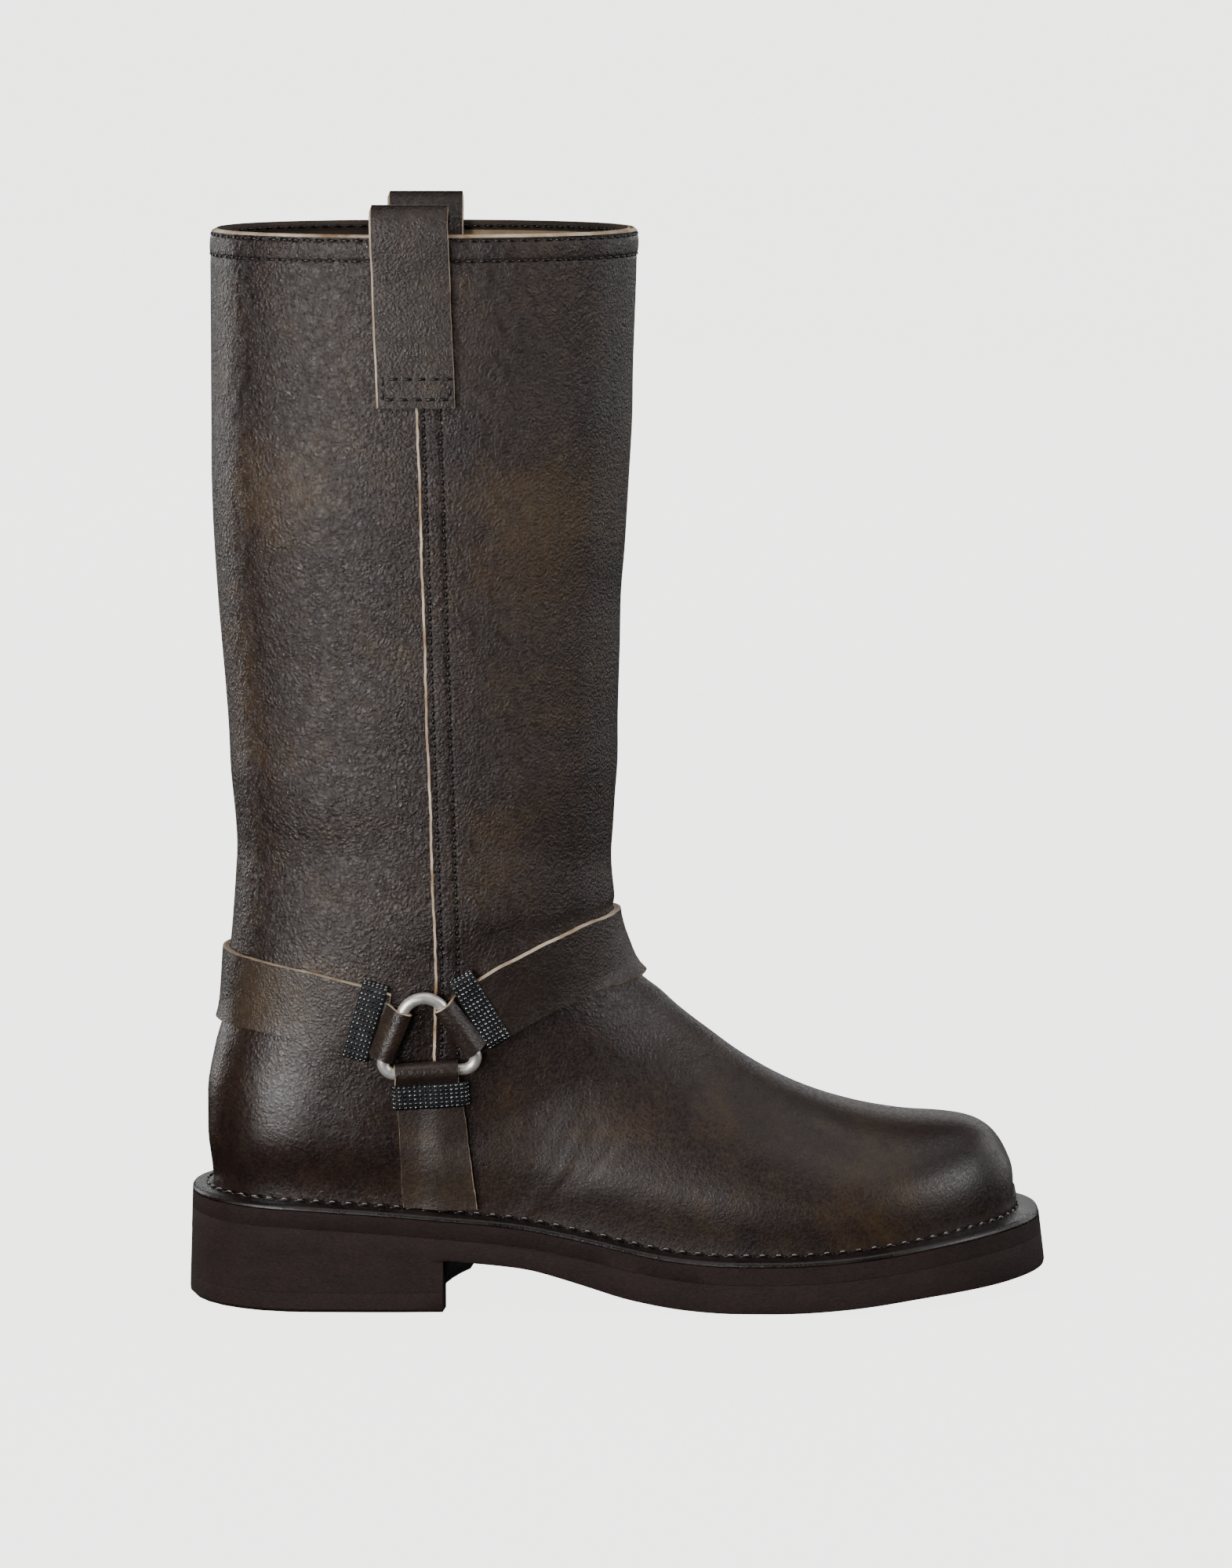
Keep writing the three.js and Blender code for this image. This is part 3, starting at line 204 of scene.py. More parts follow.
# creases and soft waves of the leather: x, z, angle, half length, half width, depth, side (0 for both)
CREASES = [
    (86, 58, 66, 14, 1.5, -0.3, -1), (91, 54, 62, 15, 1.7, -0.34, -1), (97, 52, 56, 13, 1.6, -0.3, -1),
    (82, 63, 72, 10, 1.5, -0.24, -1), (103, 48, 48, 11, 1.8, -0.24, -1), (93, 55, 60, 17, 5.5, 0.1, -1),
    (88, 44, 20, 12, 1.4, -0.2, -1), (100, 62, 110, 12, 1.6, -0.2, -1),
    (106, 58, 118, 17, 2.6, -0.6, 1), (116, 52, 122, 16, 2.6, -0.6, 1), (96, 66, 112, 13, 2.4, -0.45, 1),
    (8, 150, 8, 26, 7.0, -0.9, 0), (12, 170, -6, 30, 9.0, 0.7, 0), (88, 150, -14, 28, 8.0, -0.8, 0),
    (92, 176, 10, 30, 10.0, 0.6, 0), (20, 214, 12, 34, 11.0, -0.7, 0), (86, 236, -10, 34, 12.0, -0.7, 0),
    (14, 262, -8, 36, 12.0, 0.6, 0), (90, 290, 8, 34, 13.0, 0.6, 0), (62, 120, 24, 22, 6.0, -0.5, 0),
    (118, 88, -40, 22, 7.0, -0.6, 0), (134, 74, -34, 22, 7.0, 0.4, 0),
    (8, 62, 4, 26, 16.0, 1.3, -1), (8, 62, 4, 26, 16.0, 1.3, 1), (150, 50, -12, 36, 14.0, 0.5, -1),
]
CREASE_BOW = 0.0036


def creased(point):
    """How far the creases lift the skin at a point. They fade out at the welt and at the collar."""
    x, y, z = point[..., 0], point[..., 1], point[..., 2]
    depth = np.zeros_like(x)
    for cx, cz, angle, half_length, half_width, height, side in CREASES:
        c, s = math.cos(math.radians(angle)), math.sin(math.radians(angle))
        u, v = (x - cx) * c + (z - cz) * s, (z - cz) * c - (x - cx) * s
        v = v + CREASE_BOW * u * u * (1 if side < 0 else -1)
        flank = 1.0 if side == 0 else ease(side * (y - middle_y(x, z)), 2.0, 14.0)
        depth = depth + height * flank * np.exp(-(v / half_width) ** 2) * np.exp(-(u / half_length) ** 4)
    return depth * ease(z - welt_top(x), 3.0, 14.0) * ease(COLLAR - z, 2.0, 18.0)


COLLAR_ROWS, COLLAR_PUFF, GROOVE, GROOVE_WIDTH = (1.9, 8.4), 0.45, 0.3, 0.55


def pulled_in(distance, rows, puff):
    """Relief next to a line of stitching: it pulls a groove, and the leather between two rows puffs up."""
    first, last = rows
    between = np.clip((distance - first) / (last - first), 0, 1)
    relief = puff * np.sqrt(np.maximum(4 * between * (1 - between), 0))
    for row in rows:
        relief = relief - GROOVE * np.exp(-((distance - row) / GROOVE_WIDTH) ** 2)
    return relief


def skin_point(row, turn, out):
    """A point at a distance out from the last, with creases and the collar's stitched edge."""
    point = last_point(row, turn)
    relief = creased(point) + pulled_in(COLLAR - point[..., 2], COLLAR_ROWS, COLLAR_PUFF)
    return point + last_normal(row, turn) * (out + relief)[..., None]


def make_active(piece):
    bpy.ops.object.select_all(action="DESELECT")
    piece.select_set(True)
    bpy.context.view_layer.objects.active = piece


def new_piece(name, points, faces, materials):
    """A smooth-shaded piece from its points in millimetres. It rides on the boot's only body."""
    mesh = bpy.data.meshes.new(name)
    mesh.from_pydata((np.asarray(points) * 0.001).tolist(), [], [list(map(int, f)) for f in faces])
    mesh.validate()
    piece = bpy.data.objects.new(name, mesh)
    bpy.context.scene.collection.objects.link(piece)
    for material in materials:
        mesh.materials.append(material)
    mesh.polygons.foreach_set("use_smooth", [True] * len(mesh.polygons))
    make_active(piece)
    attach(piece, "root")
    return piece


def add_modifier(piece, kind, **settings):
    modifier = piece.modifiers.new(kind, kind)
    for name, value in settings.items():
        setattr(modifier, name, value)
    bpy.context.view_layer.objects.active = piece
    bpy.ops.object.modifier_apply(modifier=modifier.name)


def turn_outwards(merge=0.0):
    """Turns the active piece's faces outwards. Points nearer than merge, in metres, become one first."""
    bpy.ops.object.mode_set(mode="EDIT")
    bpy.ops.mesh.select_all(action="SELECT")
    if merge:
        bpy.ops.mesh.remove_doubles(threshold=merge)
    bpy.ops.mesh.normals_make_consistent(inside=False)
    bpy.ops.mesh.delete_loose()
    bpy.ops.object.mode_set(mode="OBJECT")


def grid_faces(rows, columns, closed=False):
    faces = []
    for r in range(rows - 1):
        for c in range(columns if closed else columns - 1):
            d = (c + 1) % columns
            faces.append((r * columns + c, (r + 1) * columns + c, (r + 1) * columns + d, r * columns + d))
    return faces


def closing_faces(rows, columns):
    """The faces that join a closed grid's last row to its first."""
    last = (rows - 1) * columns
    return [(last + k, k, (k + 1) % columns, last + (k + 1) % columns) for k in range(columns)]


def linear(hex_colour):
    values = [int(hex_colour[k:k + 2], 16) / 255 for k in (1, 3, 5)]
    return [v / 12.92 if v <= 0.04045 else ((v + 0.055) / 1.055) ** 2.4 for v in values] + [1.0]


METRE = 1000.0  # millimetres, so METRE / 5.0 is the scale of a pattern 5 mm large


def add_node(tree, kind, sockets=None, stops=(), **settings):
    """Adds a node with its settings. A socket takes a value, or another node's output as (node, name).
    The stops of a colour ramp are places with their colours."""
    made = tree.nodes.new(kind)
    for name, value in settings.items():
        setattr(made, name, value)
    for name, value in (sockets or {}).items():
        if isinstance(value, tuple) and isinstance(value[0], bpy.types.Node):
            tree.links.new(value[0].outputs[value[1]], made.inputs[name])
        else:
            made.inputs[name].default_value = value
    while stops and len(made.color_ramp.elements) < len(stops):
        made.color_ramp.elements.new(0.5)
    for place, (share, colour) in enumerate(stops):
        made.color_ramp.elements[place].position = share
        made.color_ramp.elements[place].color = linear(colour)
    return made


def new_material(name):
    material = bpy.data.materials.new(name)
    material.use_nodes = True
    tree = material.node_tree
    shader = tree.nodes["Principled BSDF"]
    where = add_node(tree, "ShaderNodeTexCoord")
    return material, tree, shader, (where, "Object")


# Antiqued cowhide: aniline-dyed dark brown, waxed, then rubbed back by hand so that the olive-tan hide
# shows in clouds. Satin and boarded to a fine wavy pebble on the shaft, stretched smoother and shinier
# over the foot.
RUBBED = [(84, -30, 262, 34, 0.5), (92, -34, 215, 30, 0.4), (66, -42, 150, 20, 0.45), (2, -36, 268, 26, 0.35),
          (8, -36, 104, 18, 0.5), (196, -30, 40, 28, 0.3), (150, -34, 56, 24, 0.25), (112, -30, 60, 20, 0.3),
          (40, 48, 240, 50, 0.35), (-14, 4, 200, 40, 0.3)]


def hide(name, dark, brown, rubbed, grain_mm, grain_depth, clouds, gloss):
    """grain_mm is the size of a pebble of the grain, grain_depth the relief it stands up by. The real pebbles
    are about half a millimetre, too fine to show in a picture of the whole boot, so they are drawn larger."""
    material, tree, shader, where = new_material(name)
    # the dye: broad clouds, mottling and specks, with paler places where the hide was rubbed back
    cloud = add_node(tree, "ShaderNodeTexNoise", {"Vector": where, "Scale": METRE / 40.0, "Detail": 5.0,
                                                  "Roughness": 0.66, "Distortion": 0.5})
    mottle = add_node(tree, "ShaderNodeTexNoise",
                      {"Vector": where, "Scale": METRE / 7.0, "Detail": 6.0, "Roughness": 0.72})
    speck = add_node(tree, "ShaderNodeTexNoise",
                     {"Vector": where, "Scale": METRE / 1.3, "Detail": 3.0, "Roughness": 0.7})
    amount = add_node(tree, "ShaderNodeMath", {0: (cloud, "Fac"), 1: 0.5}, operation="MULTIPLY")
    for pattern, share in ((mottle, 0.34), (speck, 0.24)):
        amount = add_node(tree, "ShaderNodeMath", {0: (pattern, "Fac"), 1: share, 2: (amount, 0)},
                          operation="MULTIPLY_ADD")
    for x, y, z, reach, strength in clouds:
        place = add_node(tree, "ShaderNodeVectorMath",
                         {0: where, 1: (x * 0.001, y * 0.001, z * 0.001)}, operation="DISTANCE")
        near = add_node(tree, "ShaderNodeMapRange",
                        {"Value": (place, "Value"), "From Min": reach * 0.00025, "From Max": reach * 0.00125,
                         "To Min": strength * 0.3, "To Max": 0.0}, interpolation_type="SMOOTHSTEP")
        amount = add_node(tree, "ShaderNodeMath", {0: (amount, 0), 1: (near, "Result")}, operation="ADD")
    dye = add_node(tree, "ShaderNodeValToRGB", {"Fac": (amount, 0)},
                   stops=[(0.42, dark), (0.56, brown), (0.84, rubbed)])
    tree.links.new(dye.outputs["Color"], shader.inputs["Base Color"])
    # the grain: pebbles with pores, bent so that they run in no straight line, and smoother low on the foot
    drift = add_node(tree, "ShaderNodeTexNoise",
                     {"Vector": where, "Scale": METRE / 5.0, "Detail": 2.0, "Roughness": 0.55})
    bent = add_node(tree, "ShaderNodeVectorMath", {0: (drift, "Color"), 1: (0.0035,) * 3, 2: where},
                    operation="MULTIPLY_ADD")
    pebble = add_node(tree, "ShaderNodeTexVoronoi", {"Vector": (bent, "Vector"), "Scale": METRE / grain_mm},
                      feature="F1")
    pore = add_node(tree, "ShaderNodeTexNoise",
                    {"Vector": (bent, "Vector"), "Scale": METRE / (grain_mm * 0.6), "Detail": 3.0,
                     "Roughness": 0.65})
    skin = add_node(tree, "ShaderNodeMath", {0: (pebble, "Distance"), 1: -0.9, 2: (pore, "Fac")},
                    operation="MULTIPLY_ADD")
    place = add_node(tree, "ShaderNodeSeparateXYZ", {0: where})
    boarded = add_node(tree, "ShaderNodeMapRange", {"Value": (place, "Z"), "From Min": 0.06, "From Max": 0.14,
                                                    "To Min": 0.2, "To Max": 1.0})
    relief = add_node(tree, "ShaderNodeMath", {0: (skin, 0), 1: (boarded, "Result")}, operation="MULTIPLY")
    wrinkle = add_node(tree, "ShaderNodeTexNoise", {"Vector": where, "Scale": METRE / 2.2, "Detail": 5.0,
                                                    "Roughness": 0.7, "Distortion": 0.6})
    relief = add_node(tree, "ShaderNodeMath", {0: (wrinkle, "Fac"), 1: 0.32, 2: (relief, 0)},
                      operation="MULTIPLY_ADD")
    bump = add_node(tree, "ShaderNodeBump", {"Height": (relief, 0), "Distance": grain_depth * 0.001})
    tree.links.new(bump.outputs["Normal"], shader.inputs["Normal"])
    # the wax: dull in the grain's hollows, polished at the counter and rubbed matt in front
    hollow = add_node(tree, "ShaderNodeMapRange", {"Value": (skin, 0), "From Min": -0.35, "From Max": 0.35,
                                                   "To Min": 0.16, "To Max": -0.06})
    worn = add_node(tree, "ShaderNodeMapRange", {"Value": (place, "X"), "From Min": 0.03, "From Max": 0.075,
                                                 "To Min": gloss - 0.09, "To Max": gloss + 0.04})
    wax = add_node(tree, "ShaderNodeMath", {0: (hollow, "Result"), 1: (worn, "Result")}, operation="ADD")
    tree.links.new(wax.outputs[0], shader.inputs["Roughness"])
    return material


antiqued_cowhide = hide("antiqued_cowhide", "#1b1312", "#2b1f1a", "#4a3923", 1.1, 0.32, RUBBED, 0.34)


# Undyed kip lining: vegetable-tanned, flesh side out, so it is matt, tan and softly mottled.
def plain_hide(name, dark, pale, fibre_mm, fibre_depth, rough):
    material, tree, shader, where = new_material(name)
    tone = add_node(tree, "ShaderNodeTexNoise",
                    {"Vector": where, "Scale": METRE / 14.0, "Detail": 5.0, "Roughness": 0.65})
    dye = add_node(tree, "ShaderNodeValToRGB", {"Fac": (tone, "Fac")}, stops=[(0.35, dark), (0.65, pale)])
    tree.links.new(dye.outputs["Color"], shader.inputs["Base Color"])
    fibre = add_node(tree, "ShaderNodeTexNoise",
                     {"Vector": where, "Scale": METRE / fibre_mm, "Detail": 4.0, "Roughness": 0.7})
    bump = add_node(tree, "ShaderNodeBump", {"Height": (fibre, "Fac"), "Distance": fibre_depth * 0.001})
    tree.links.new(bump.outputs["Normal"], shader.inputs["Normal"])
    shader.inputs["Roughness"].default_value = rough
    return material


kip_lining = plain_hide("undyed_kip_lining", "#8d7252", "#c2a987", 0.9, 0.12, 0.85)
# Dark leather for the inside: the dyed facing round the top of the collar, and painted shade deep inside the
# heel.
facing_and_painted_shade_lining = plain_hide("dark_facing_and_painted_shade_lining", "#2a211b", "#3f3228", 0.9, 0.12, 0.8)
# Raw cut edge: the hide's pale core where the knife went through, left unpainted.
raw_edge = plain_hide("raw_cut_edge", "#8f7050", "#e2d2ba", 0.5, 0.1, 0.8)

RIM_SLANT = 0.9
level_row = fair_line(-leg_z, np.arange(len(leg_z), dtype=float))
SHELL_ROWS = np.concatenate([level_row(np.linspace(RIM_SLANT, 12.0, 24) - COLLAR), np.linspace(2.05, 12, 66),
                             np.linspace(12, LAST_ROW, 88)[1:]])
SHELL_ROUND = 150


def seat_z(x):
    return welt_top(x) - WELT_THICK


def on_the_seat(points):
    """Nothing of the upper reaches under the seat of the welt: what would is laid on it."""
    points[..., 2] = np.maximum(points[..., 2], seat_z(points[..., 0]))
    return points


def under_the_foot(points, faces):
    """Leaves out the faces that lie on the seat, so the upper stays open underneath."""
    low = points[:, 2] <= seat_z(points[:, 0]) + 0.01
    return [f for f in faces if not all(low[i] for i in f)]


CAP_ANGLES = (0.5, 1.0, 1.35)


def rounded_off(grid, bulge):
    """Closes the last row over the tip of the toe with rings that bulge forward."""
    tip = grid[-1].mean(axis=0)
    forward = np.array([bulge, 0, 0])
    rings = [tip + (grid[-1] - tip) * math.cos(a) + forward * math.sin(a) for a in CAP_ANGLES]
    return np.concatenate([grid, np.array(rings)])


turns = np.linspace(0, 2 * math.pi, SHELL_ROUND, endpoint=False)
shell_row, shell_turn = np.meshgrid(SHELL_ROWS, turns, indexing="ij")
shell = on_the_seat(skin_point(shell_row, shell_turn, 0.0))
shell = rounded_off(shell, 0.9).reshape(-1, 3)
shell_faces = grid_faces(len(SHELL_ROWS) + len(CAP_ANGLES), SHELL_ROUND, closed=True)
shell_faces.append([len(shell) - SHELL_ROUND + k for k in range(SHELL_ROUND)])
upper = new_piece("upper_rear_panel", shell, under_the_foot(shell, shell_faces),
                  [antiqued_cowhide, kip_lining, raw_edge, facing_and_painted_shade_lining])
turn_outwards()
add_modifier(upper, "SOLIDIFY", thickness=WALL * 0.001, offset=-1, material_offset=1, material_offset_rim=2)


def slant_rim(piece, below_rim):
    """The collar is cut at a slant, so its pale edge shows from the side: the inner edge stands higher."""
    inner_edge = [v for v in piece.data.vertices if v.co.z > (COLLAR - RIM_SLANT - 0.05) * 0.001]
    for vertex in inner_edge:
        if vertex.index >= below_rim:
            vertex.co.z = COLLAR * 0.001


slant_rim(upper, SHELL_ROUND)
# The top FACING mm of the inside is a dark leather facing. Behind x = 50 mm the whole inside gets the same dark
# leather as painted shade, where the heel's inside lies in shadow. In front of it the tan lining shows.
FACING = 2.8
for face in upper.data.polygons:
    if face.material_index == 1 and (face.center.x < 0.05 or face.center.z > (COLLAR - FACING) * 0.001):
        face.material_index = 3
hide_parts("upper")


# UPPER, FRONT PANEL: vamp and shaft front in one hide, lapped over the rear panel at both sides and left
# with a raw cream edge. It is cemented, then sewn down with two rows of dark thread.
SEAM = np.array([(-0.1, 0.025), (0.08, 0.03), (0.17, 0.034), (0.24, 0.038), (0.37, 0.03), (0.53, 0.018),
                 (0.69, 0.008), (0.83, -0.002), (1.05, -0.014)])
seam_z = blend_to(welt_top(AXIS_X), COLLAR, SEAM[:, 0])
seam_lean = fair_line(seam_z, AXIS_X + SEAM[:, 1] * ANKLE_LENGTH)


def knife_wobble(z):
    """The hand-cut edge wanders a little."""
    return 0.12 * np.sin(z / 8.3) + 0.07 * np.sin(z / 2.9 + 1) + 0.08 * np.sin(z / 1.1 + 2)


def seam_turn(row, offset, wobble=0.0):
    """The turn where a section passes the seam line moved forward by an offset; pi where it never does."""
    low, high = np.zeros_like(row), np.full_like(row, math.pi)
    for _ in range(26):
        turn = (low + high) / 2
        fx, fz, bx, bz = (line(row) for line in section_lines[:4])
        share = (1 + np.cos(turn)) / 2
        x, z = blend_to(bx, fx, share), blend_to(bz, fz, share)
        ahead = x > seam_lean(z) + offset + wobble * knife_wobble(z)
        low, high = np.where(ahead, turn, low), np.where(ahead, high, turn)
    return low


EDGE_SLANT, EDGE_GAP, SEAM_ROWS, SEAM_PUFF = 0.75, 0.05, (1.7, 7.0), 0.12
near_edge = 1 - np.linspace(0, 0.16, 22)
across_front = np.concatenate([-near_edge, np.linspace(-0.84, 0.84, 92)[1:-1], near_edge[::-1]])
front_row, share_round = np.meshgrid(SHELL_ROWS, across_front, indexing="ij")
front_turn = share_round * seam_turn(SHELL_ROWS, EDGE_SLANT / 2, 1.0)[:, None]
behind_seam = last_point(front_row, front_turn)
behind_seam = behind_seam[..., 0] - seam_lean(behind_seam[..., 2]) - EDGE_SLANT / 2
panel = skin_point(front_row, front_turn, LAP + pulled_in(behind_seam, SEAM_ROWS, SEAM_PUFF))
edge_turn = seam_turn(SHELL_ROWS, -EDGE_SLANT / 2, 1.0)
edge_out = np.full_like(SHELL_ROWS, EDGE_GAP)
lateral_foot, medial_foot = (skin_point(SHELL_ROWS, side * edge_turn, edge_out)[:, None] for side in (-1, 1))
panel = on_the_seat(np.concatenate([lateral_foot, panel, medial_foot], 1))
FRONT_ROUND = panel.shape[1]
panel = rounded_off(panel, 1.3).reshape(-1, 3)
panel_faces = grid_faces(len(SHELL_ROWS) + len(CAP_ANGLES), FRONT_ROUND)
cut_edge = {f for f in panel_faces if f[0] % FRONT_ROUND in (0, FRONT_ROUND - 2)}
panel_faces.append([len(panel) - FRONT_ROUND + k for k in range(FRONT_ROUND)])
panel_faces = under_the_foot(panel, panel_faces)
front_panel = new_piece("upper_front_panel", panel, panel_faces, [antiqued_cowhide, kip_lining, raw_edge])
for face, corners in zip(front_panel.data.polygons, panel_faces):
    if tuple(corners) in cut_edge:
        face.material_index = 2
turn_outwards(merge=1e-5)
add_modifier(front_panel, "SOLIDIFY", thickness=(LAP - 0.08) * 0.001, offset=-1, material_offset=1,
             material_offset_rim=2)
slant_rim(front_panel, FRONT_ROUND)
bpy.ops.object.shade_smooth_by_angle(angle=math.radians(32))


# SEAM STITCHES: bonded polyester thread, dark brown, a lockstitch that sinks into the leather at each hole.
def thread_material(name, dark, pale, rough):
    """Twisted thread, darker between its plies."""
    material, tree, shader, where = new_material(name)
    twist = add_node(tree, "ShaderNodeTexNoise",
                     {"Vector": where, "Scale": METRE / 0.4, "Detail": 2.0, "Roughness": 0.55})
    shade = add_node(tree, "ShaderNodeValToRGB", {"Fac": (twist, "Fac")}, stops=[(0.3, dark), (0.7, pale)])
    tree.links.new(shade.outputs["Color"], shader.inputs["Base Color"])
    shader.inputs["Roughness"].default_value = rough
    return material


dark_thread = thread_material("bonded_polyester_thread", "#050303", "#120d0b", 0.32)
STITCH_SIDES = 6
stitch_profile = [(-0.5, 0.25), (-0.36, 0.8), (0.0, 1.0), (0.36, 0.8), (0.5, 0.25)]


def walk(points, normals, pitch, start=0.0):
    """Evenly spaced places along a line, each with its direction and the surface's normal."""
    lengths = np.concatenate([[0], np.cumsum(np.linalg.norm(np.diff(points, axis=0), axis=1))])
    places = np.arange(start + pitch / 2, lengths[-1], pitch)
    at = np.stack([np.interp(places, lengths, points[:, k]) for k in range(3)], 1)
    ahead = np.stack([np.interp(places + 0.2, lengths, points[:, k]) for k in range(3)], 1)
    behind = np.stack([np.interp(places - 0.2, lengths, points[:, k]) for k in range(3)], 1)
    out = np.stack([np.interp(places, lengths, normals[:, k]) for k in range(3)], 1)
    direction = ahead - behind
    direction /= np.maximum(np.linalg.norm(direction, axis=1, keepdims=True), 1e-9)
    out /= np.linalg.norm(out, axis=1, keepdims=True)
    return at, direction, out


def stitch_row(name, runs, length, thickness, slant=0.0, thread=None):
    """One joined piece of short threads. Each run gives places, directions and normals."""
    vertices, faces = [], []
    for at, direction, out in runs:
        for p, d, n in zip(at, direction, out):
            across = np.cross(n, d)
            d = d * math.cos(slant) + across * math.sin(slant)
            across = np.cross(n, d)
            base = len(vertices)
            for place, width in stitch_profile:
                dip = 0.45 * thickness * (2 * place) ** 4
                for k in range(STITCH_SIDES):
                    angle = 2 * math.pi * k / STITCH_SIDES
                    ring = across * math.cos(angle) + n * math.sin(angle) * 0.8
                    vertices.append(p + d * place * length - n * dip + ring * width * thickness / 2)
            for ring in range(len(stitch_profile) - 1):
                for k in range(STITCH_SIDES):
                    first = base + ring * STITCH_SIDES
                    a, b = first + k, first + (k + 1) % STITCH_SIDES
                    faces.append((a, b, b + STITCH_SIDES, a + STITCH_SIDES))
            end = base + (len(stitch_profile) - 1) * STITCH_SIDES
            faces.append([base + k for k in reversed(range(STITCH_SIDES))])
            faces.append([end + k for k in range(STITCH_SIDES)])
    piece = new_piece(name, np.array(vertices), faces, [thread or dark_thread])
    return piece


seam_rows = np.linspace(1.05, len(LEG) + 8, 400)
for flank, sign in (("lateral", -1), ("medial", 1)):
    runs = []
    for offset in (EDGE_SLANT / 2 + SEAM_ROWS[0], EDGE_SLANT / 2 + SEAM_ROWS[1]):
        turn = seam_turn(seam_rows, offset)
        line = skin_point(seam_rows, sign * turn, LAP + 0.26)
        keep = (line[:, 2] > welt_top(line[:, 0]) + 2) & (turn < 3.1)
        runs.append(walk(line[keep], last_normal(seam_rows, sign * turn)[keep], 2.6))
    stitch_row("seam_stitches_" + flank, runs, 2.0, 0.8)


# COLLAR STITCHES: two rows round the top of the shaft, which hold the lining to the leather.
collar_turns = np.linspace(0, 2 * math.pi, 700)
runs = []
for drop, inside in ((COLLAR_ROWS[0], False), (COLLAR_ROWS[1], False), (COLLAR_ROWS[0], True)):
    row = np.full_like(collar_turns, level_row(drop - COLLAR))
    front = np.abs((collar_turns + math.pi) % (2 * math.pi) - math.pi) < seam_turn(row, 0.0)
    height = -WALL - 0.25 if inside else np.where(front, LAP, 0) + 0.3
    line = skin_point(row, collar_turns, height + 0.0 * row)
    outward = last_normal(row, collar_turns)
    runs.append(walk(line, -outward if inside else outward, 4.2))
stitch_row("collar_stitches", runs, 3.3, 1.0)


# INSOLE: a board with a sock of tan leather glued on it, laid in from the top. It closes the boot inside,
# and only its upper face shows, far down the shaft.
def cad_copy(node, name, materials):
    """A merged copy of a CAD node's mesh, to be worked on."""
    piece = bpy.data.objects.new(name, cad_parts[node].data.copy())
    bpy.context.scene.collection.objects.link(piece)
    piece.data.materials.clear()
    for material in materials:
        piece.data.materials.append(material)
    make_active(piece)
    bpy.ops.object.mode_set(mode="EDIT")
    bpy.ops.mesh.select_all(action="SELECT")
    bpy.ops.mesh.remove_doubles(threshold=1e-6)
    bpy.ops.mesh.dissolve_limited(angle_limit=math.radians(0.5))
    bpy.ops.object.mode_set(mode="OBJECT")
    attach(piece, "root")
    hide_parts(node)
    return piece


insole = cad_copy("insole", "insole_sock", [kip_lining])
bpy.ops.object.shade_smooth_by_angle(angle=math.radians(40))


# WELT: a strip of sole leather round the foot, its top edge rounded and burnished with dark wax to a low
# shine. The upper is sewn down on it, close to the feather line.
WELT_BACK, WELT_FRONT = 7.0, 9.2
OUTLINE_STEPS = 120


def sole_outline(reach):
    """The foot's plan at the welt pushed out by a reach, anticlockwise from the heel."""
    start = HEEL_BACK
    for _ in range(8):
        start = float(back_line(welt_top(start)))
    xs = blend_to(start, TOE_X, (1 - np.cos(np.pi * np.arange(OUTLINE_STEPS + 1) / OUTLINE_STEPS)) / 2)

    def edge(x, side):
        return np.stack([x, plan_middle(along(x)) * BALL_WIDTH + side * plan_half(x, welt_top(x), side)], 1)
    line = np.concatenate([edge(xs, -1), edge(xs[1:-1][::-1], 1)])
    run = np.roll(line, -1, axis=0) - np.roll(line, 1, axis=0)
    run /= np.linalg.norm(run, axis=1, keepdims=True)
    out = reach(line[:, 0])
    return np.stack([line[:, 0] + run[:, 1] * out, line[:, 1] - run[:, 0] * out], 1)


def welt_reach(x):
    return blend_to(WELT_BACK, WELT_FRONT, np.clip(along(x), 0, 1))


def flare(x):
    return np.tan(np.radians(blend_to(2.0, 7.0, np.clip(along(x), 0, 1))))


def sole_layer(name, levels, material, closed_profile=False):
    """A layer of the sole from its levels, top to bottom: height line, reach line."""
    rings = []
    for height, reach in levels:
        plan = sole_outline(reach)
        rings.append(np.concatenate([plan, height(plan[:, 0])[:, None]], 1))
    count = len(rings[0])
    points = np.concatenate(rings)
    faces = grid_faces(len(rings), count, closed=True)
    if closed_profile:
        faces += closing_faces(len(rings), count)
    else:
        for base, turned in ((0, True), ((len(rings) - 1) * count, False)):
            for k in range(OUTLINE_STEPS):
                quad = [k, k + 1, (count - k - 1) % count, (count - k) % count]
                quad = list(dict.fromkeys(quad))
                faces.append([base + i for i in (quad if turned else reversed(quad))])
    piece = new_piece(name, points, faces, [material])
    turn_outwards()
    return piece


# Burnished welt leather: nearly black, with soft tone changes and a polish that comes and goes in streaks.
def burnished_edge():
    material, tree, shader, where = new_material("burnished_welt_leather")
    tone = add_node(tree, "ShaderNodeTexNoise",
                    {"Vector": where, "Scale": METRE / 12.0, "Detail": 4.0, "Roughness": 0.6})
    dye = add_node(tree, "ShaderNodeValToRGB", {"Fac": (tone, "Fac")},
                   stops=[(0.35, "#140e0d"), (0.7, "#231a18")])
    tree.links.new(dye.outputs["Color"], shader.inputs["Base Color"])
    grain = add_node(tree, "ShaderNodeTexNoise",
                     {"Vector": where, "Scale": METRE / 0.8, "Detail": 4.0, "Roughness": 0.7})
    bump = add_node(tree, "ShaderNodeBump", {"Height": (grain, "Fac"), "Distance": 0.00016})
    tree.links.new(bump.outputs["Normal"], shader.inputs["Normal"])
    polish = add_node(tree, "ShaderNodeMapRange", {"Value": (tone, "Fac"), "From Min": 0.3, "From Max": 0.7,
                                                   "To Min": 0.2, "To Max": 0.36})
    tree.links.new(polish.outputs["Result"], shader.inputs["Roughness"])
    return material


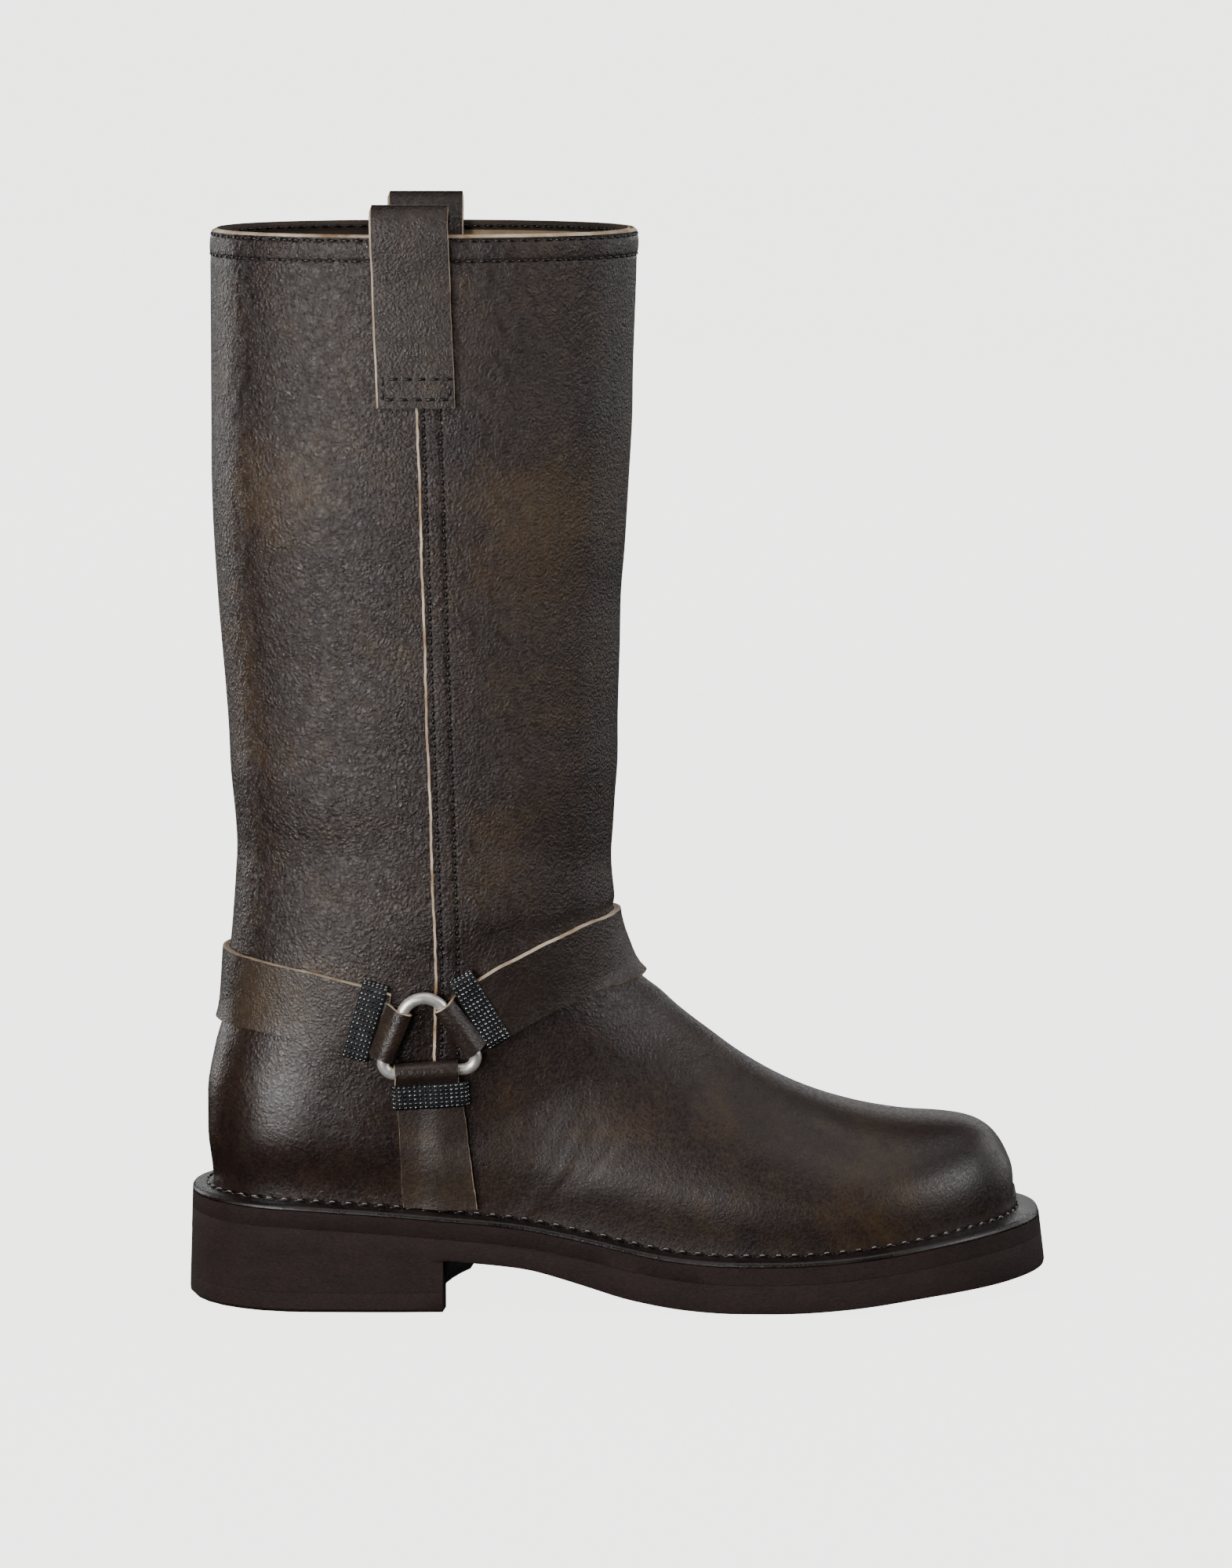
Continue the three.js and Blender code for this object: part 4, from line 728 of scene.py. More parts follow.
welt_leather = burnished_edge()
welt = sole_layer("welt_strip", [
    (seat_z, lambda x: x * 0 - 2.5),
    (lambda x: welt_top(x) - 0.1, lambda x: x * 0 - 2.5),
    (welt_top, lambda x: x * 0 + 2.6),
    (lambda x: welt_top(x) - 0.4, lambda x: welt_reach(x) - 1.7),
    (lambda x: welt_top(x) - 0.62, lambda x: welt_reach(x) - 0.9),
    (lambda x: welt_top(x) - 0.95, lambda x: welt_reach(x) - 0.35),
    (lambda x: welt_top(x) - 1.4, lambda x: welt_reach(x) - 0.03),
    (lambda x: welt_top(x) - 1.9, lambda x: welt_reach(x) + 0.08),
    (seat_z, lambda x: welt_reach(x) + 2.4 * flare(x)),
], welt_leather, closed_profile=True)
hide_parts("welt")

# Welt stitches: waxed linen thread, laid in the corner between upper and welt. Their short turns on top are a
# paler thread, made paler still as a painted highlight for the glints where they catch the light.
pale_thread_with_painted_glints = thread_material("waxed_linen_thread_with_painted_glints", "#5a5048", "#b9afa2", 0.3)
WELT_PITCH = 5.3
welt_line = sole_outline(lambda x: x * 0 + 2.2)
welt_line = np.concatenate([welt_line, welt_line[:1]])
line = np.concatenate([welt_line, welt_top(welt_line[:, 0])[:, None] + 0.25], 1)
upward = np.tile([0.0, 0.0, 1.0], (len(line), 1))
stitch_row("welt_thread", [walk(line, upward, WELT_PITCH)], 5.0, 1.0, slant=0.06)
# The turns on top: short pieces of the pale thread, whose paleness is partly painted highlight.
stitch_row("welt_stitches_with_painted_glints", [walk(line + [0, 0, 0.42], upward, WELT_PITCH)], 1.9, 0.55, 0.2,
           pale_thread_with_painted_glints)


# MIDSOLE AND OUTSOLE: crepe-textured rubber in two thicknesses, cemented and trimmed together, so that
# the side is one matt wall with only a faint line between them.
MIDSOLE_DEPTH, WAIST, BALL, TOE = 8.1, 15.4, 17.8, 19.2
BREAST_X, FLAT_FROM, FLAT_TO = 52.2, 146.0, 160.0


def sole_thickness(x):
    start, full = blend_to(BREAST_X, FLAT_FROM, 0.26), blend_to(BREAST_X, FLAT_FROM, 0.65)
    forefoot = blend_to(WAIST, BALL, ease(x, start, full))
    return blend_to(forefoot, TOE, ease(x, blend_to(FLAT_TO, TOE_X, 0.5), TOE_X))


def tread_z(x):
    return welt_top(x) - sole_thickness(x)


# Moulded sole rubber: matt red-brown crepe, flecked along the sole. Its flecks are drawn as coarse as
# they show.
def moulded_rubber():
    material, tree, shader, where = new_material("moulded_sole_rubber")
    drawn = add_node(tree, "ShaderNodeMapping", {"Vector": where, "Scale": (1.0, 1.0, 2.2)})
    tone = add_node(tree, "ShaderNodeTexNoise",
                    {"Vector": (drawn, "Vector"), "Scale": METRE / 18.0, "Detail": 4.0, "Roughness": 0.6})
    fleck = add_node(tree, "ShaderNodeTexNoise",
                     {"Vector": (drawn, "Vector"), "Scale": METRE / 1.1, "Detail": 4.0, "Roughness": 0.75})
    mixed = add_node(tree, "ShaderNodeMath", {0: (fleck, "Fac"), 1: 0.75}, operation="MULTIPLY")
    mixed = add_node(tree, "ShaderNodeMath", {0: (tone, "Fac"), 1: 0.25, 2: (mixed, 0)},
                     operation="MULTIPLY_ADD")
    dye = add_node(tree, "ShaderNodeValToRGB", {"Fac": (mixed, 0)},
                   stops=[(0.38, "#180f0f"), (0.64, "#34231f")])
    tree.links.new(dye.outputs["Color"], shader.inputs["Base Color"])
    bump = add_node(tree, "ShaderNodeBump", {"Height": (fleck, "Fac"), "Distance": 0.0004})
    tree.links.new(bump.outputs["Normal"], shader.inputs["Normal"])
    shader.inputs["Roughness"].default_value = 0.7
    shader.inputs["Specular IOR Level"].default_value = 0.3
    return material


sole_rubber = moulded_rubber()
midsole = sole_layer("midsole_layer", [
    (lambda x: seat_z(x) - 0.02, lambda x: welt_reach(x) + 2.42 * flare(x)),
    (lambda x: welt_top(x) - MIDSOLE_DEPTH + 0.12, lambda x: welt_reach(x) + MIDSOLE_DEPTH * flare(x)),
    (lambda x: welt_top(x) - MIDSOLE_DEPTH, lambda x: welt_reach(x) + MIDSOLE_DEPTH * flare(x) - 0.12),
], sole_rubber)


def off_the_heel(x):
    """1 in front of the heel block, where the tread's edge is rounded, 0 over the block, which it meets."""
    return ease(x, BREAST_X - 2.0, BREAST_X + 1.0)


def sole_reach(x):
    return welt_reach(x) + sole_thickness(x) * flare(x)


outsole = sole_layer("outsole_layer", [
    (lambda x: welt_top(x) - MIDSOLE_DEPTH, lambda x: welt_reach(x) + MIDSOLE_DEPTH * flare(x) - 0.12),
    (lambda x: welt_top(x) - MIDSOLE_DEPTH - 0.12, lambda x: welt_reach(x) + MIDSOLE_DEPTH * flare(x)),
    (lambda x: tread_z(x) + 1.2, lambda x: welt_reach(x) + (sole_thickness(x) - 1.2) * flare(x)),
    (lambda x: tread_z(x) + 0.35, lambda x: sole_reach(x) - 0.3 * off_the_heel(x)),
    (lambda x: tread_z(x) - 0.28 * (1 - off_the_heel(x)), lambda x: sole_reach(x) - 1.2 * off_the_heel(x)),
], sole_rubber)
for piece, node in ((midsole, "midsole"), (outsole, "outsole")):
    make_active(piece)
    bpy.ops.object.shade_smooth_by_angle(angle=math.radians(50))
    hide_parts(node)


# HEEL: a rubber block nailed and cemented under the seat, with a hollowed breast, and a harder top lift
# that stands on the floor.
heel = cad_copy("heel_block", "heel_block_rubber", [sole_rubber])
bpy.ops.object.shade_smooth_by_angle(angle=math.radians(35))
lift = cad_copy("heel_top_lift", "heel_top_lift_rubber", [sole_rubber])
lift_top = max(v.co.z for v in lift.data.vertices)
bpy.ops.object.mode_set(mode="EDIT")
bpy.ops.mesh.select_all(action="DESELECT")
bpy.ops.object.mode_set(mode="OBJECT")
for vertex in lift.data.vertices:
    vertex.select = vertex.co.z > lift_top - 0.0002
bpy.ops.object.mode_set(mode="EDIT")
bpy.ops.transform.translate(value=(0, 0, 0.00022))
bpy.ops.object.mode_set(mode="OBJECT")
add_modifier(lift, "BEVEL", width=0.00018, segments=2, limit_method="ANGLE", angle_limit=math.radians(50))
bpy.ops.object.shade_smooth_by_angle(angle=math.radians(35))


# PULL LOOPS: straps of the same hide, folded over the collar at each side and box-stitched to the shaft.
# Their long edges are raw, and the one towards the heel shows its full thickness.
strap_hide = hide("waxed_strap_hide", "#221a16", "#302621", "#4e3f2d", 1.0, 0.26,
                  [(-8, -36, 104, 24, 0.6), (50, -38, 46, 34, 0.3)], 0.36)
LOOP_LEATHER, LOOP_WIDTH, LOOP_DROP, LOOP_INSIDE, LOOP_RISE, LOOP_STAND = 1.9, 25.4, 55.5, 42.0, 9.6, 1.8
LOOPS = {"lateral": (-1, 42.0), "medial": (1, 44.6)}
LOOP_CUT, LOOP_LEAN, LOOP_COLUMNS = (0.75, 0.3), 2.0, 9


def side_y(x, z, side, out=0.0):
    """The last's half width seen in the side view: the section is the one whose plane passes the point."""
    x, z = np.broadcast_arrays(np.asarray(x, float), np.asarray(z, float))
    low, high = np.zeros_like(x), np.full_like(x, float(LAST_ROW))
    for _ in range(30):
        row = (low + high) / 2
        fx, fz, bx, bz = (line(row) for line in section_lines[:4])
        over = (fx - bx) * (z - bz) - (fz - bz) * (x - bx) < 0
        low, high = np.where(over, row, low), np.where(over, high, row)
    fx, fz, bx, bz, widest, crown = (line(low) for line in section_lines)
    share = ((x - bx) * (fx - bx) + (z - bz) * (fz - bz)) / ((fx - bx) ** 2 + (fz - bz) ** 2)
    top = (1 - np.clip((share - widest) / (1 - widest), 0, 1) ** crown) ** (1 / crown)
    return middle_y(x, z) + side * (plan_half(x, z, side) * top + out)


def outward_of(grid, towards):
    """The normals of a grid of places. The one at its middle points towards a given direction."""
    normal = np.cross(np.gradient(grid, axis=1), np.gradient(grid, axis=0))
    normal /= np.maximum(np.linalg.norm(normal, axis=-1, keepdims=True), 1e-9)
    return normal * np.sign(np.dot(normal[len(grid) // 2, grid.shape[1] // 2], towards))


def ribbon(name, face, inward, cut, end_cut=0.25, wander=0.07):
    """A strip of hide from the grid of its outer side and its thickness inward. Its edges are cut at a
    slant: cut is how far the first and the last column stand back on the outer side, end_cut the ends."""
    rows, columns = face.shape[:2]
    across = face[:, -1] - face[:, 0]
    across /= np.linalg.norm(across, axis=-1, keepdims=True)
    knife = wander * (np.sin(np.arange(rows) / 2.3) + 0.6 * np.sin(np.arange(rows) / 0.9 + 1))[:, None]
    outer, inner = face.copy(), face + inward
    inner[:, 0] += across * knife
    inner[:, -1] += across * knife[::-1]
    outer[:, 0] += across * (cut[0] + knife)
    outer[:, -1] -= across * (cut[1] - knife[::-1])
    for end, beside in ((0, 1), (-1, -2)):
        run = face[beside] - face[end]
        outer[end] += run / np.linalg.norm(run, axis=-1, keepdims=True) * end_cut
    shift, sheet = rows * columns, grid_faces(rows, columns)
    faces = sheet + [tuple(shift + i for i in reversed(f)) for f in sheet]
    rims = [(r * columns + c, (r + 1) * columns + c) for r in range(rows - 1) for c in (0, columns - 1)]
    rims += [(r * columns + c, r * columns + c + 1) for r in (0, rows - 1) for c in range(columns - 1)]
    faces += [(a, b, shift + b, shift + a) for a, b in rims]
    piece = new_piece(name, np.concatenate([outer.reshape(-1, 3), inner.reshape(-1, 3)]), faces,
                      [strap_hide, raw_edge])
    for k in range(2 * len(sheet), len(faces)):
        piece.data.polygons[k].material_index = 1
    turn_outwards()
    bpy.ops.object.shade_smooth_by_angle(angle=math.radians(38))
    return piece


def fine_line(points, count):
    """Points spread evenly along a smooth curve through a few."""
    points = np.array(points, float)
    lengths = np.concatenate([[0], np.cumsum(np.linalg.norm(np.diff(points, axis=0), axis=1))])
    at = np.linspace(0, lengths[-1], count)
    return np.stack([fair_line(lengths, points[:, k])(at) for k in range(points.shape[1])], 1)


for flank, (side, loop_x) in LOOPS.items():
    seat_out, seat_in = LAP + 0.45 + LOOP_LEATHER / 2, -(WALL + 0.9 + LOOP_LEATHER / 2)
    middle, half = (seat_out + seat_in) / 2, (seat_out - seat_in) / 2 + LOOP_STAND
    outer = [(-d, seat_out + LOOP_STAND * ease(-d, -16.0, 0.0)) for d in np.linspace(LOOP_DROP, 0, 24)]
    arch = [((LOOP_RISE - LOOP_LEATHER / 2) * math.sin(a), middle + half * math.cos(a))
            for a in np.radians(np.linspace(14, 166, 12))]
    inner = [(-d, seat_in - LOOP_STAND * ease(-d, -16.0, 0.0)) for d in np.linspace(0, LOOP_INSIDE, 16)]
    path = np.array(outer + arch + inner)
    lean = np.clip(-path[:, 0] / LOOP_DROP, 0, 1) * LOOP_LEAN * (np.arange(len(path)) < len(outer))
    xs = loop_x + lean
    heights = COLLAR + path[:, 0]
    grid = np.zeros((len(path), LOOP_COLUMNS, 3))
    for c, share in enumerate(np.linspace(-0.5, 0.5, LOOP_COLUMNS)):
        x = xs + share * LOOP_WIDTH
        y = side_y(x, np.minimum(heights, COLLAR), side) + side * path[:, 1]
        grid[:, c] = np.stack([x, y, heights], 1)
    outward = outward_of(grid, (0, 0, 1))
    loop = ribbon("pull_loop_strap_" + flank, grid + outward * LOOP_LEATHER / 2, -outward * LOOP_LEATHER,
                  LOOP_CUT)
    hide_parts("pull_loop_" + flank)
    corners = [(-10.6, 3.0), (11.0, 3.0), (11.0, 9.6), (-10.6, 9.6), (-10.6, 3.0)]
    box = []
    for (x0, z0), (x1, z1) in zip(corners[:-1], corners[1:]):
        box += [(blend_to(x0, x1, t), blend_to(z0, z1, t)) for t in np.linspace(0, 1, 12, endpoint=False)]
    box = np.array(box + [corners[0]])
    x, z = loop_x + LOOP_LEAN + box[:, 0], COLLAR - LOOP_DROP + box[:, 1]
    line = np.stack([x, side_y(x, z, side) + side * (LAP + 0.55 + LOOP_LEATHER), z], 1)
    normals = np.tile([0.0, float(side), 0.0], (len(line), 1))
    stitch_row("pull_loop_stitches_" + flank, [walk(line, normals, 4.4)], 3.5, 1.0)


# RINGS: zinc cast in a rounded triangle and plated in satin nickel. One hangs flat at each side of the
# ankle, held by the three straps.
WIRE, RING_X, RING_Z, STRAP_LAYER = 3.9, 46.0, 91.0, 1.1
WRAP_R, RING_SIDES = WIRE / 2 + FIT + STRAP_LAYER, 20
CORNERS = [(-1.2, 7.74, 7.5), (-10.44, -6.56, 4.0), (11.96, -5.4, 4.0)]


def straight_side(a, b):
    """The straight run between two rounded corners: outward direction, start and end."""
    (ax, ay, ar), (bx, by, br) = a, b
    run = np.array([bx - ax, by - ay])
    length = np.linalg.norm(run)
    unit, lean = run / length, (ar - br) / length
    out = unit * lean + np.array([unit[1], -unit[0]]) * math.sqrt(1 - lean * lean)
    return out, np.array([ax, ay]) + out * ar, np.array([bx, by]) + out * br


SIDES = {"front": straight_side(CORNERS[2], CORNERS[0]), "rear": straight_side(CORNERS[0], CORNERS[1]),
         "under": straight_side(CORNERS[1], CORNERS[2])}


def ring_frame(side):
    """The plane that touches the upper at the ring: where its middle lies, and its directions."""
    def at(dx, dz):
        x, z = RING_X + dx, RING_Z + dz
        return np.array([x, float(side_y(x, z, side)), z])
    ahead = at(6, 0) - at(-6, 0)
    ahead /= np.linalg.norm(ahead)
    up = at(0, 6) - at(0, -6)
    up /= np.linalg.norm(up)
    out = np.cross(ahead, up) * -side
    out /= np.linalg.norm(out)
    up = np.cross(out, ahead) * -side
    return at(0, 0) + out * (LAP + FIT + WRAP_R), ahead, up, out


def ring_line(per_arc=14):
    points = []
    names = ["front", "rear", "under"]
    for k, name in enumerate(names):
        before, after = SIDES[name][0], SIDES[names[(k + 1) % 3]][0]
        start = math.atan2(before[1], before[0])
        sweep = (math.atan2(after[1], after[0]) - start) % (2 * math.pi)
        cx, cy, radius = CORNERS[k]
        for t in np.linspace(0, 1, per_arc):
            angle = start + sweep * t
            points.append((cx + math.cos(angle) * radius, cy + math.sin(angle) * radius))
        a, b = SIDES[names[(k + 1) % 3]][1:]
        points += [tuple(blend_to(a, b, t)) for t in (0.25, 0.5, 0.75)]
    return np.array(points)


# Satin nickel plate: pale warm grey, blasted, so that it scatters part of the light and mirrors the rest
# softly.
def plated_nickel():
    material, tree, shader, where = new_material("satin_nickel_plate")
    haze = add_node(tree, "ShaderNodeTexNoise",
                    {"Vector": where, "Scale": METRE / 3.0, "Detail": 4.0, "Roughness": 0.6})
    tone = add_node(tree, "ShaderNodeValToRGB", {"Fac": (haze, "Fac")},
                    stops=[(0.3, "#d6d2cc"), (0.7, "#f3f1ed")])
    tree.links.new(tone.outputs["Color"], shader.inputs["Base Color"])
    shader.inputs["Metallic"].default_value = 0.72
    satin = add_node(tree, "ShaderNodeMapRange", {"Value": (haze, "Fac"), "From Min": 0.3, "From Max": 0.7,
                                                  "To Min": 0.34, "To Max": 0.46})
    tree.links.new(satin.outputs["Result"], shader.inputs["Roughness"])
    return material


nickel = plated_nickel()
RING_FRAMES = {}
for flank, side in (("lateral", -1), ("medial", 1)):
    origin, ahead, up, out = ring_frame(side)
    RING_FRAMES[flank] = (origin, ahead, up, out, side)
    flat = ring_line()
    run = np.roll(flat, -1, axis=0) - np.roll(flat, 1, axis=0)
    run /= np.linalg.norm(run, axis=1, keepdims=True)
    points = []
    for (u, v), (ru, rv) in zip(flat, run):
        centre = origin + ahead * u + up * v
        outward = ahead * rv - up * ru
        for k in range(RING_SIDES):
            angle = 2 * math.pi * k / RING_SIDES
            points.append(centre + (outward * math.cos(angle) + out * math.sin(angle)) * WIRE / 2)
    faces = grid_faces(len(flat), RING_SIDES, closed=True) + closing_faces(len(flat), RING_SIDES)
    ring = new_piece("ring_casting_" + flank, np.array(points), faces, [nickel])
    turn_outwards()
    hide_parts("ring_" + flank)


# HARNESS STRAPS: two layers of strap hide sewn back to back, 23 mm wide, with raw edges. One runs behind
# the heel and one over the instep from ring to ring, and one goes from each ring down into the welt seam.
STRAP, STRAP_WIDTH = 2.2, 22.6
# middle lines in the side view: x, z, width
REAR = [(36.0, 93.8, 22.6), (26.5, 97.0, 22.6), (9.3, 101.2, 22.6), (-6.8, 103.4, 23.3), (-22.1, 104.4, 24.2),
        (-40.0, 105.0, 24.2)]
FRONT = [(58.0, 95.6, 22.6), (65.0, 99.6, 22.6), (74.5, 105.0, 22.6), (88.9, 111.7, 23.0), (101.6, 116.0, 23.5),
         (114.1, 117.3, 24.4), (135.0, 118.0, 24.4)]
UNDER = [(47.0, 77.0, 20.0), (47.5, 65.9, 21.7), (48.6, 53.4, 22.6), (50.1, 35.8, 24.2), (51.0, 23.3, 24.6)]


def band(turns, table, columns, out):
    """A grid of places that go round the last by turns and across a strap's width."""
    table = np.array(table)
    table = table[np.argsort(table[:, 0])]
    middle, width = fair_line(table[:, 0], table[:, 1]), fair_line(table[:, 0], table[:, 2])
    turn, share = np.meshgrid(turns, np.linspace(-0.5, 0.5, columns), indexing="ij")
    low, high = np.full_like(turn, 8.0), np.full_like(turn, len(LEG) + 12.0)
    for _ in range(30):
        row = (low + high) / 2
        place = last_point(row, turn)
        x, z = place[..., 0], place[..., 2]
        slope = (middle(x + 0.5) - middle(x - 0.5))
        above = z > middle(x) + share * width(x) * np.sqrt(1 + slope * slope)
        low, high = np.where(above, row, low), np.where(above, high, row)
    lift = out(last_point(low, turn)[..., 0], last_point(low, turn)[..., 2])
    point, normal = last_point(low, turn), last_normal(low, turn)
    return point + normal * lift[..., None], normal


def panel_step(x, z):
    """How far the surface under a strap stands off the last: the front panel's lap, eased by the strap."""
    return LAP * ease(x - seam_lean(z), -5.0, 2.0)


def turn_at(x, z, side):
    """The turn of a place of the side view."""
    low, high = 0.0, float(LAST_ROW)
    for _ in range(30):
        row = (low + high) / 2
        fx, fz, bx, bz = (float(line(np.array(row))) for line in section_lines[:4])
        if (fx - bx) * (z - bz) - (fz - bz) * (x - bx) < 0:
            low = row
        else:
            high = row
    share = ((x - bx) * (fx - bx) + (z - bz) * (fz - bz)) / ((fx - bx) ** 2 + (fz - bz) ** 2)
    return side * math.acos(max(-1.0, min(1.0, 2 * share - 1)))


def strap_piece(name, grid, normal, node, cut):
    """Two layers back to back: the outer one shows, and the inner one's pale edge peeps out behind it."""
    for layer, lift, slant in (("_outer", STRAP, cut), ("_inner", STRAP_LAYER - 0.04, (0.03, 0.03))):
        piece = ribbon(name + layer, grid + normal * (FIT + lift), -normal * (STRAP_LAYER - 0.04), slant)
        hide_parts(node)


rear_start, rear_end = turn_at(33.5, 94.8, 1), 2 * math.pi - turn_at(33.5, 94.8, 1)
grid, normal = band(np.linspace(rear_start, rear_end, 110), REAR, 9, panel_step)
strap_piece("harness_strap_rear", grid, normal, "strap_rear", (0.1, 0.18))
front_turn_end = turn_at(59.5, 96.5, 1)
grid, normal = band(np.linspace(-front_turn_end, front_turn_end, 110), FRONT, 9, panel_step)
strap_piece("harness_strap_front", grid, normal, "strap_front", (0.36, 0.16))
for flank, (origin, ahead, up, out, side) in RING_FRAMES.items():
    table = np.array(UNDER)[::-1]
    heights = np.linspace(76.0, float(welt_top(50.0)) + 0.6, 50)
    middle, width = fair_line(table[:, 1], table[:, 0]), fair_line(table[:, 1], table[:, 2])
    z, share = np.meshgrid(heights, np.linspace(-0.5, 0.5, 9), indexing="ij")
    x = middle(z) + share * width(z)
    z = np.maximum(z, welt_top(x) + 0.4)
    y = side_y(x, z, side) + side * panel_step(x, z)
    grid = np.stack([x, y, z], -1)
    strap_piece("harness_strap_under_" + flank, grid, outward_of(grid, (0, side, 0)), "strap_under_" + flank,
                (0.06, 0.25))


# STRAP ENDS: each strap's outer layer is folded round the ring's straight side and sewn back on itself,
# so it makes a full roll with cut edges, and a row of stitches next to it.
WRAP_TAIL = 12.0
stitch_runs = {"lateral": [], "medial": []}
for flank, (origin, ahead, up, out, side) in RING_FRAMES.items():
    for name, (away, start, end) in SIDES.items():
        middle2 = (start + end) / 2
        length = float(np.linalg.norm(end - start)) + 1.0
        if name == "under":
            length, middle2 = length - 2.4, middle2 - np.array([1.2, 0.0])
        tail = middle2 + away * WRAP_TAIL
        place = origin + ahead * tail[0] + up * tail[1]
        x, z = RING_X + tail[0], RING_Z + tail[1]
        seat = float(side_y(x, z, side)) + side * (float(panel_step(x, z)) + FIT)
        drop = (np.array([x, seat, z]) - origin) @ out + WRAP_R
        tilt = math.atan2(drop, WRAP_TAIL)
        away3 = ahead * away[0] + up * away[1]
        along3 = ahead * away[1] - up * away[0]
        away_t = away3 * math.cos(tilt) + out * math.sin(tilt)
        out_t = out * math.cos(tilt) - away3 * math.sin(tilt)
        centre = origin + ahead * middle2[0] + up * middle2[1]
        r = WRAP_R - STRAP_LAYER / 2
        low, top = -r, -r + STRAP_LAYER
        arc = [(r * math.cos(a), r * math.sin(a)) for a in np.radians(np.linspace(262, 62, 22))]
        profile = [(WRAP_TAIL, low), (8.0, low), (4.0, low), (1.2, low)] + arc
        profile += [(3.1, 1.05), (4.4, -0.35), (5.8, top + 0.12), (7.5, top), (WRAP_TAIL, top)]
        profile = fine_line(profile, 70)
        rows = []
        for u, v in profile:
            row = []
            for share in np.linspace(-0.5, 0.5, 7):
                puff = 0.25 * (1 - (2 * share) ** 2) * (1 if v > 0 else 0)
                row.append(centre + away_t * u + out_t * (v + puff) + along3 * share * length)
            rows.append(row)
        grid = np.array(rows)
        outward = outward_of(grid, grid[len(profile) // 2, 3] - centre)
        layer = STRAP_LAYER - 0.1
        ribbon(f"strap_end_{name}_{flank}", grid + outward * layer / 2, -outward * layer, (0.2, 0.2))
        sewn = np.array([centre + away_t * 4.9 + out_t * (top + 0.95) + along3 * s * (length - 3)
                         for s in np.linspace(-0.5, 0.5, 10)])
        stitch_runs[flank].append(walk(sewn, np.tile(out_t, (10, 1)), 2.9))
for flank, runs in stitch_runs.items():
    stitch_row("strap_end_stitches_" + flank, runs, 2.2, 0.8)


# KEEPERS: narrow black mesh bands wrapped round each strap beside the ring, set all over with small
# gunmetal beads in six rows.
KEEPER_WIDTH, KEEPER_REACH, KEEPER_BEND, KEEPER_COLUMNS = 8.4, 9.3, 1.3, 6
BEAD, BEAD_PITCH, BEAD_ROWS = 1.18, 1.62, 6


# Black mesh tape: matt, with a weave too fine to show, drawn as a faint unevenness.
def black_mesh():
    material, tree, shader, where = new_material("black_mesh_tape")
    shader.inputs["Base Color"].default_value = linear("#0d0c0e")
    weave = add_node(tree, "ShaderNodeTexNoise",
                     {"Vector": where, "Scale": METRE / 0.6, "Detail": 2.0, "Roughness": 0.55})
    bump = add_node(tree, "ShaderNodeBump", {"Height": (weave, "Fac"), "Distance": 0.0001})
    tree.links.new(bump.outputs["Normal"], shader.inputs["Normal"])
    shader.inputs["Roughness"].default_value = 0.7
    return material


# Gunmetal beads: dark grey polished metal, each a little lighter or darker than the next, so that they
# sparkle.
def gunmetal():
    material, tree, shader, where = new_material("gunmetal_beads")
    tone = add_node(tree, "ShaderNodeTexNoise",
                    {"Vector": where, "Scale": METRE / 2.2, "Detail": 2.0, "Roughness": 0.55})
    shade = add_node(tree, "ShaderNodeValToRGB", {"Fac": (tone, "Fac")},
                     stops=[(0.35, "#3f4145"), (0.7, "#a3a5a9")])
    tree.links.new(shade.outputs["Color"], shader.inputs["Base Color"])
    shader.inputs["Metallic"].default_value = 1.0
    shader.inputs["Roughness"].default_value = 0.22
    return material


mesh_tape, bead_metal = black_mesh(), gunmetal()
bpy.ops.object.select_all(action="DESELECT")
bpy.ops.mesh.primitive_uv_sphere_add(segments=8, ring_count=5, radius=BEAD / 2)
bead_form = bpy.context.object
bead_vertices = np.array([v.co[:] for v in bead_form.data.vertices])
bead_faces = [list(f.vertices) for f in bead_form.data.polygons]
bpy.data.objects.remove(bead_form)

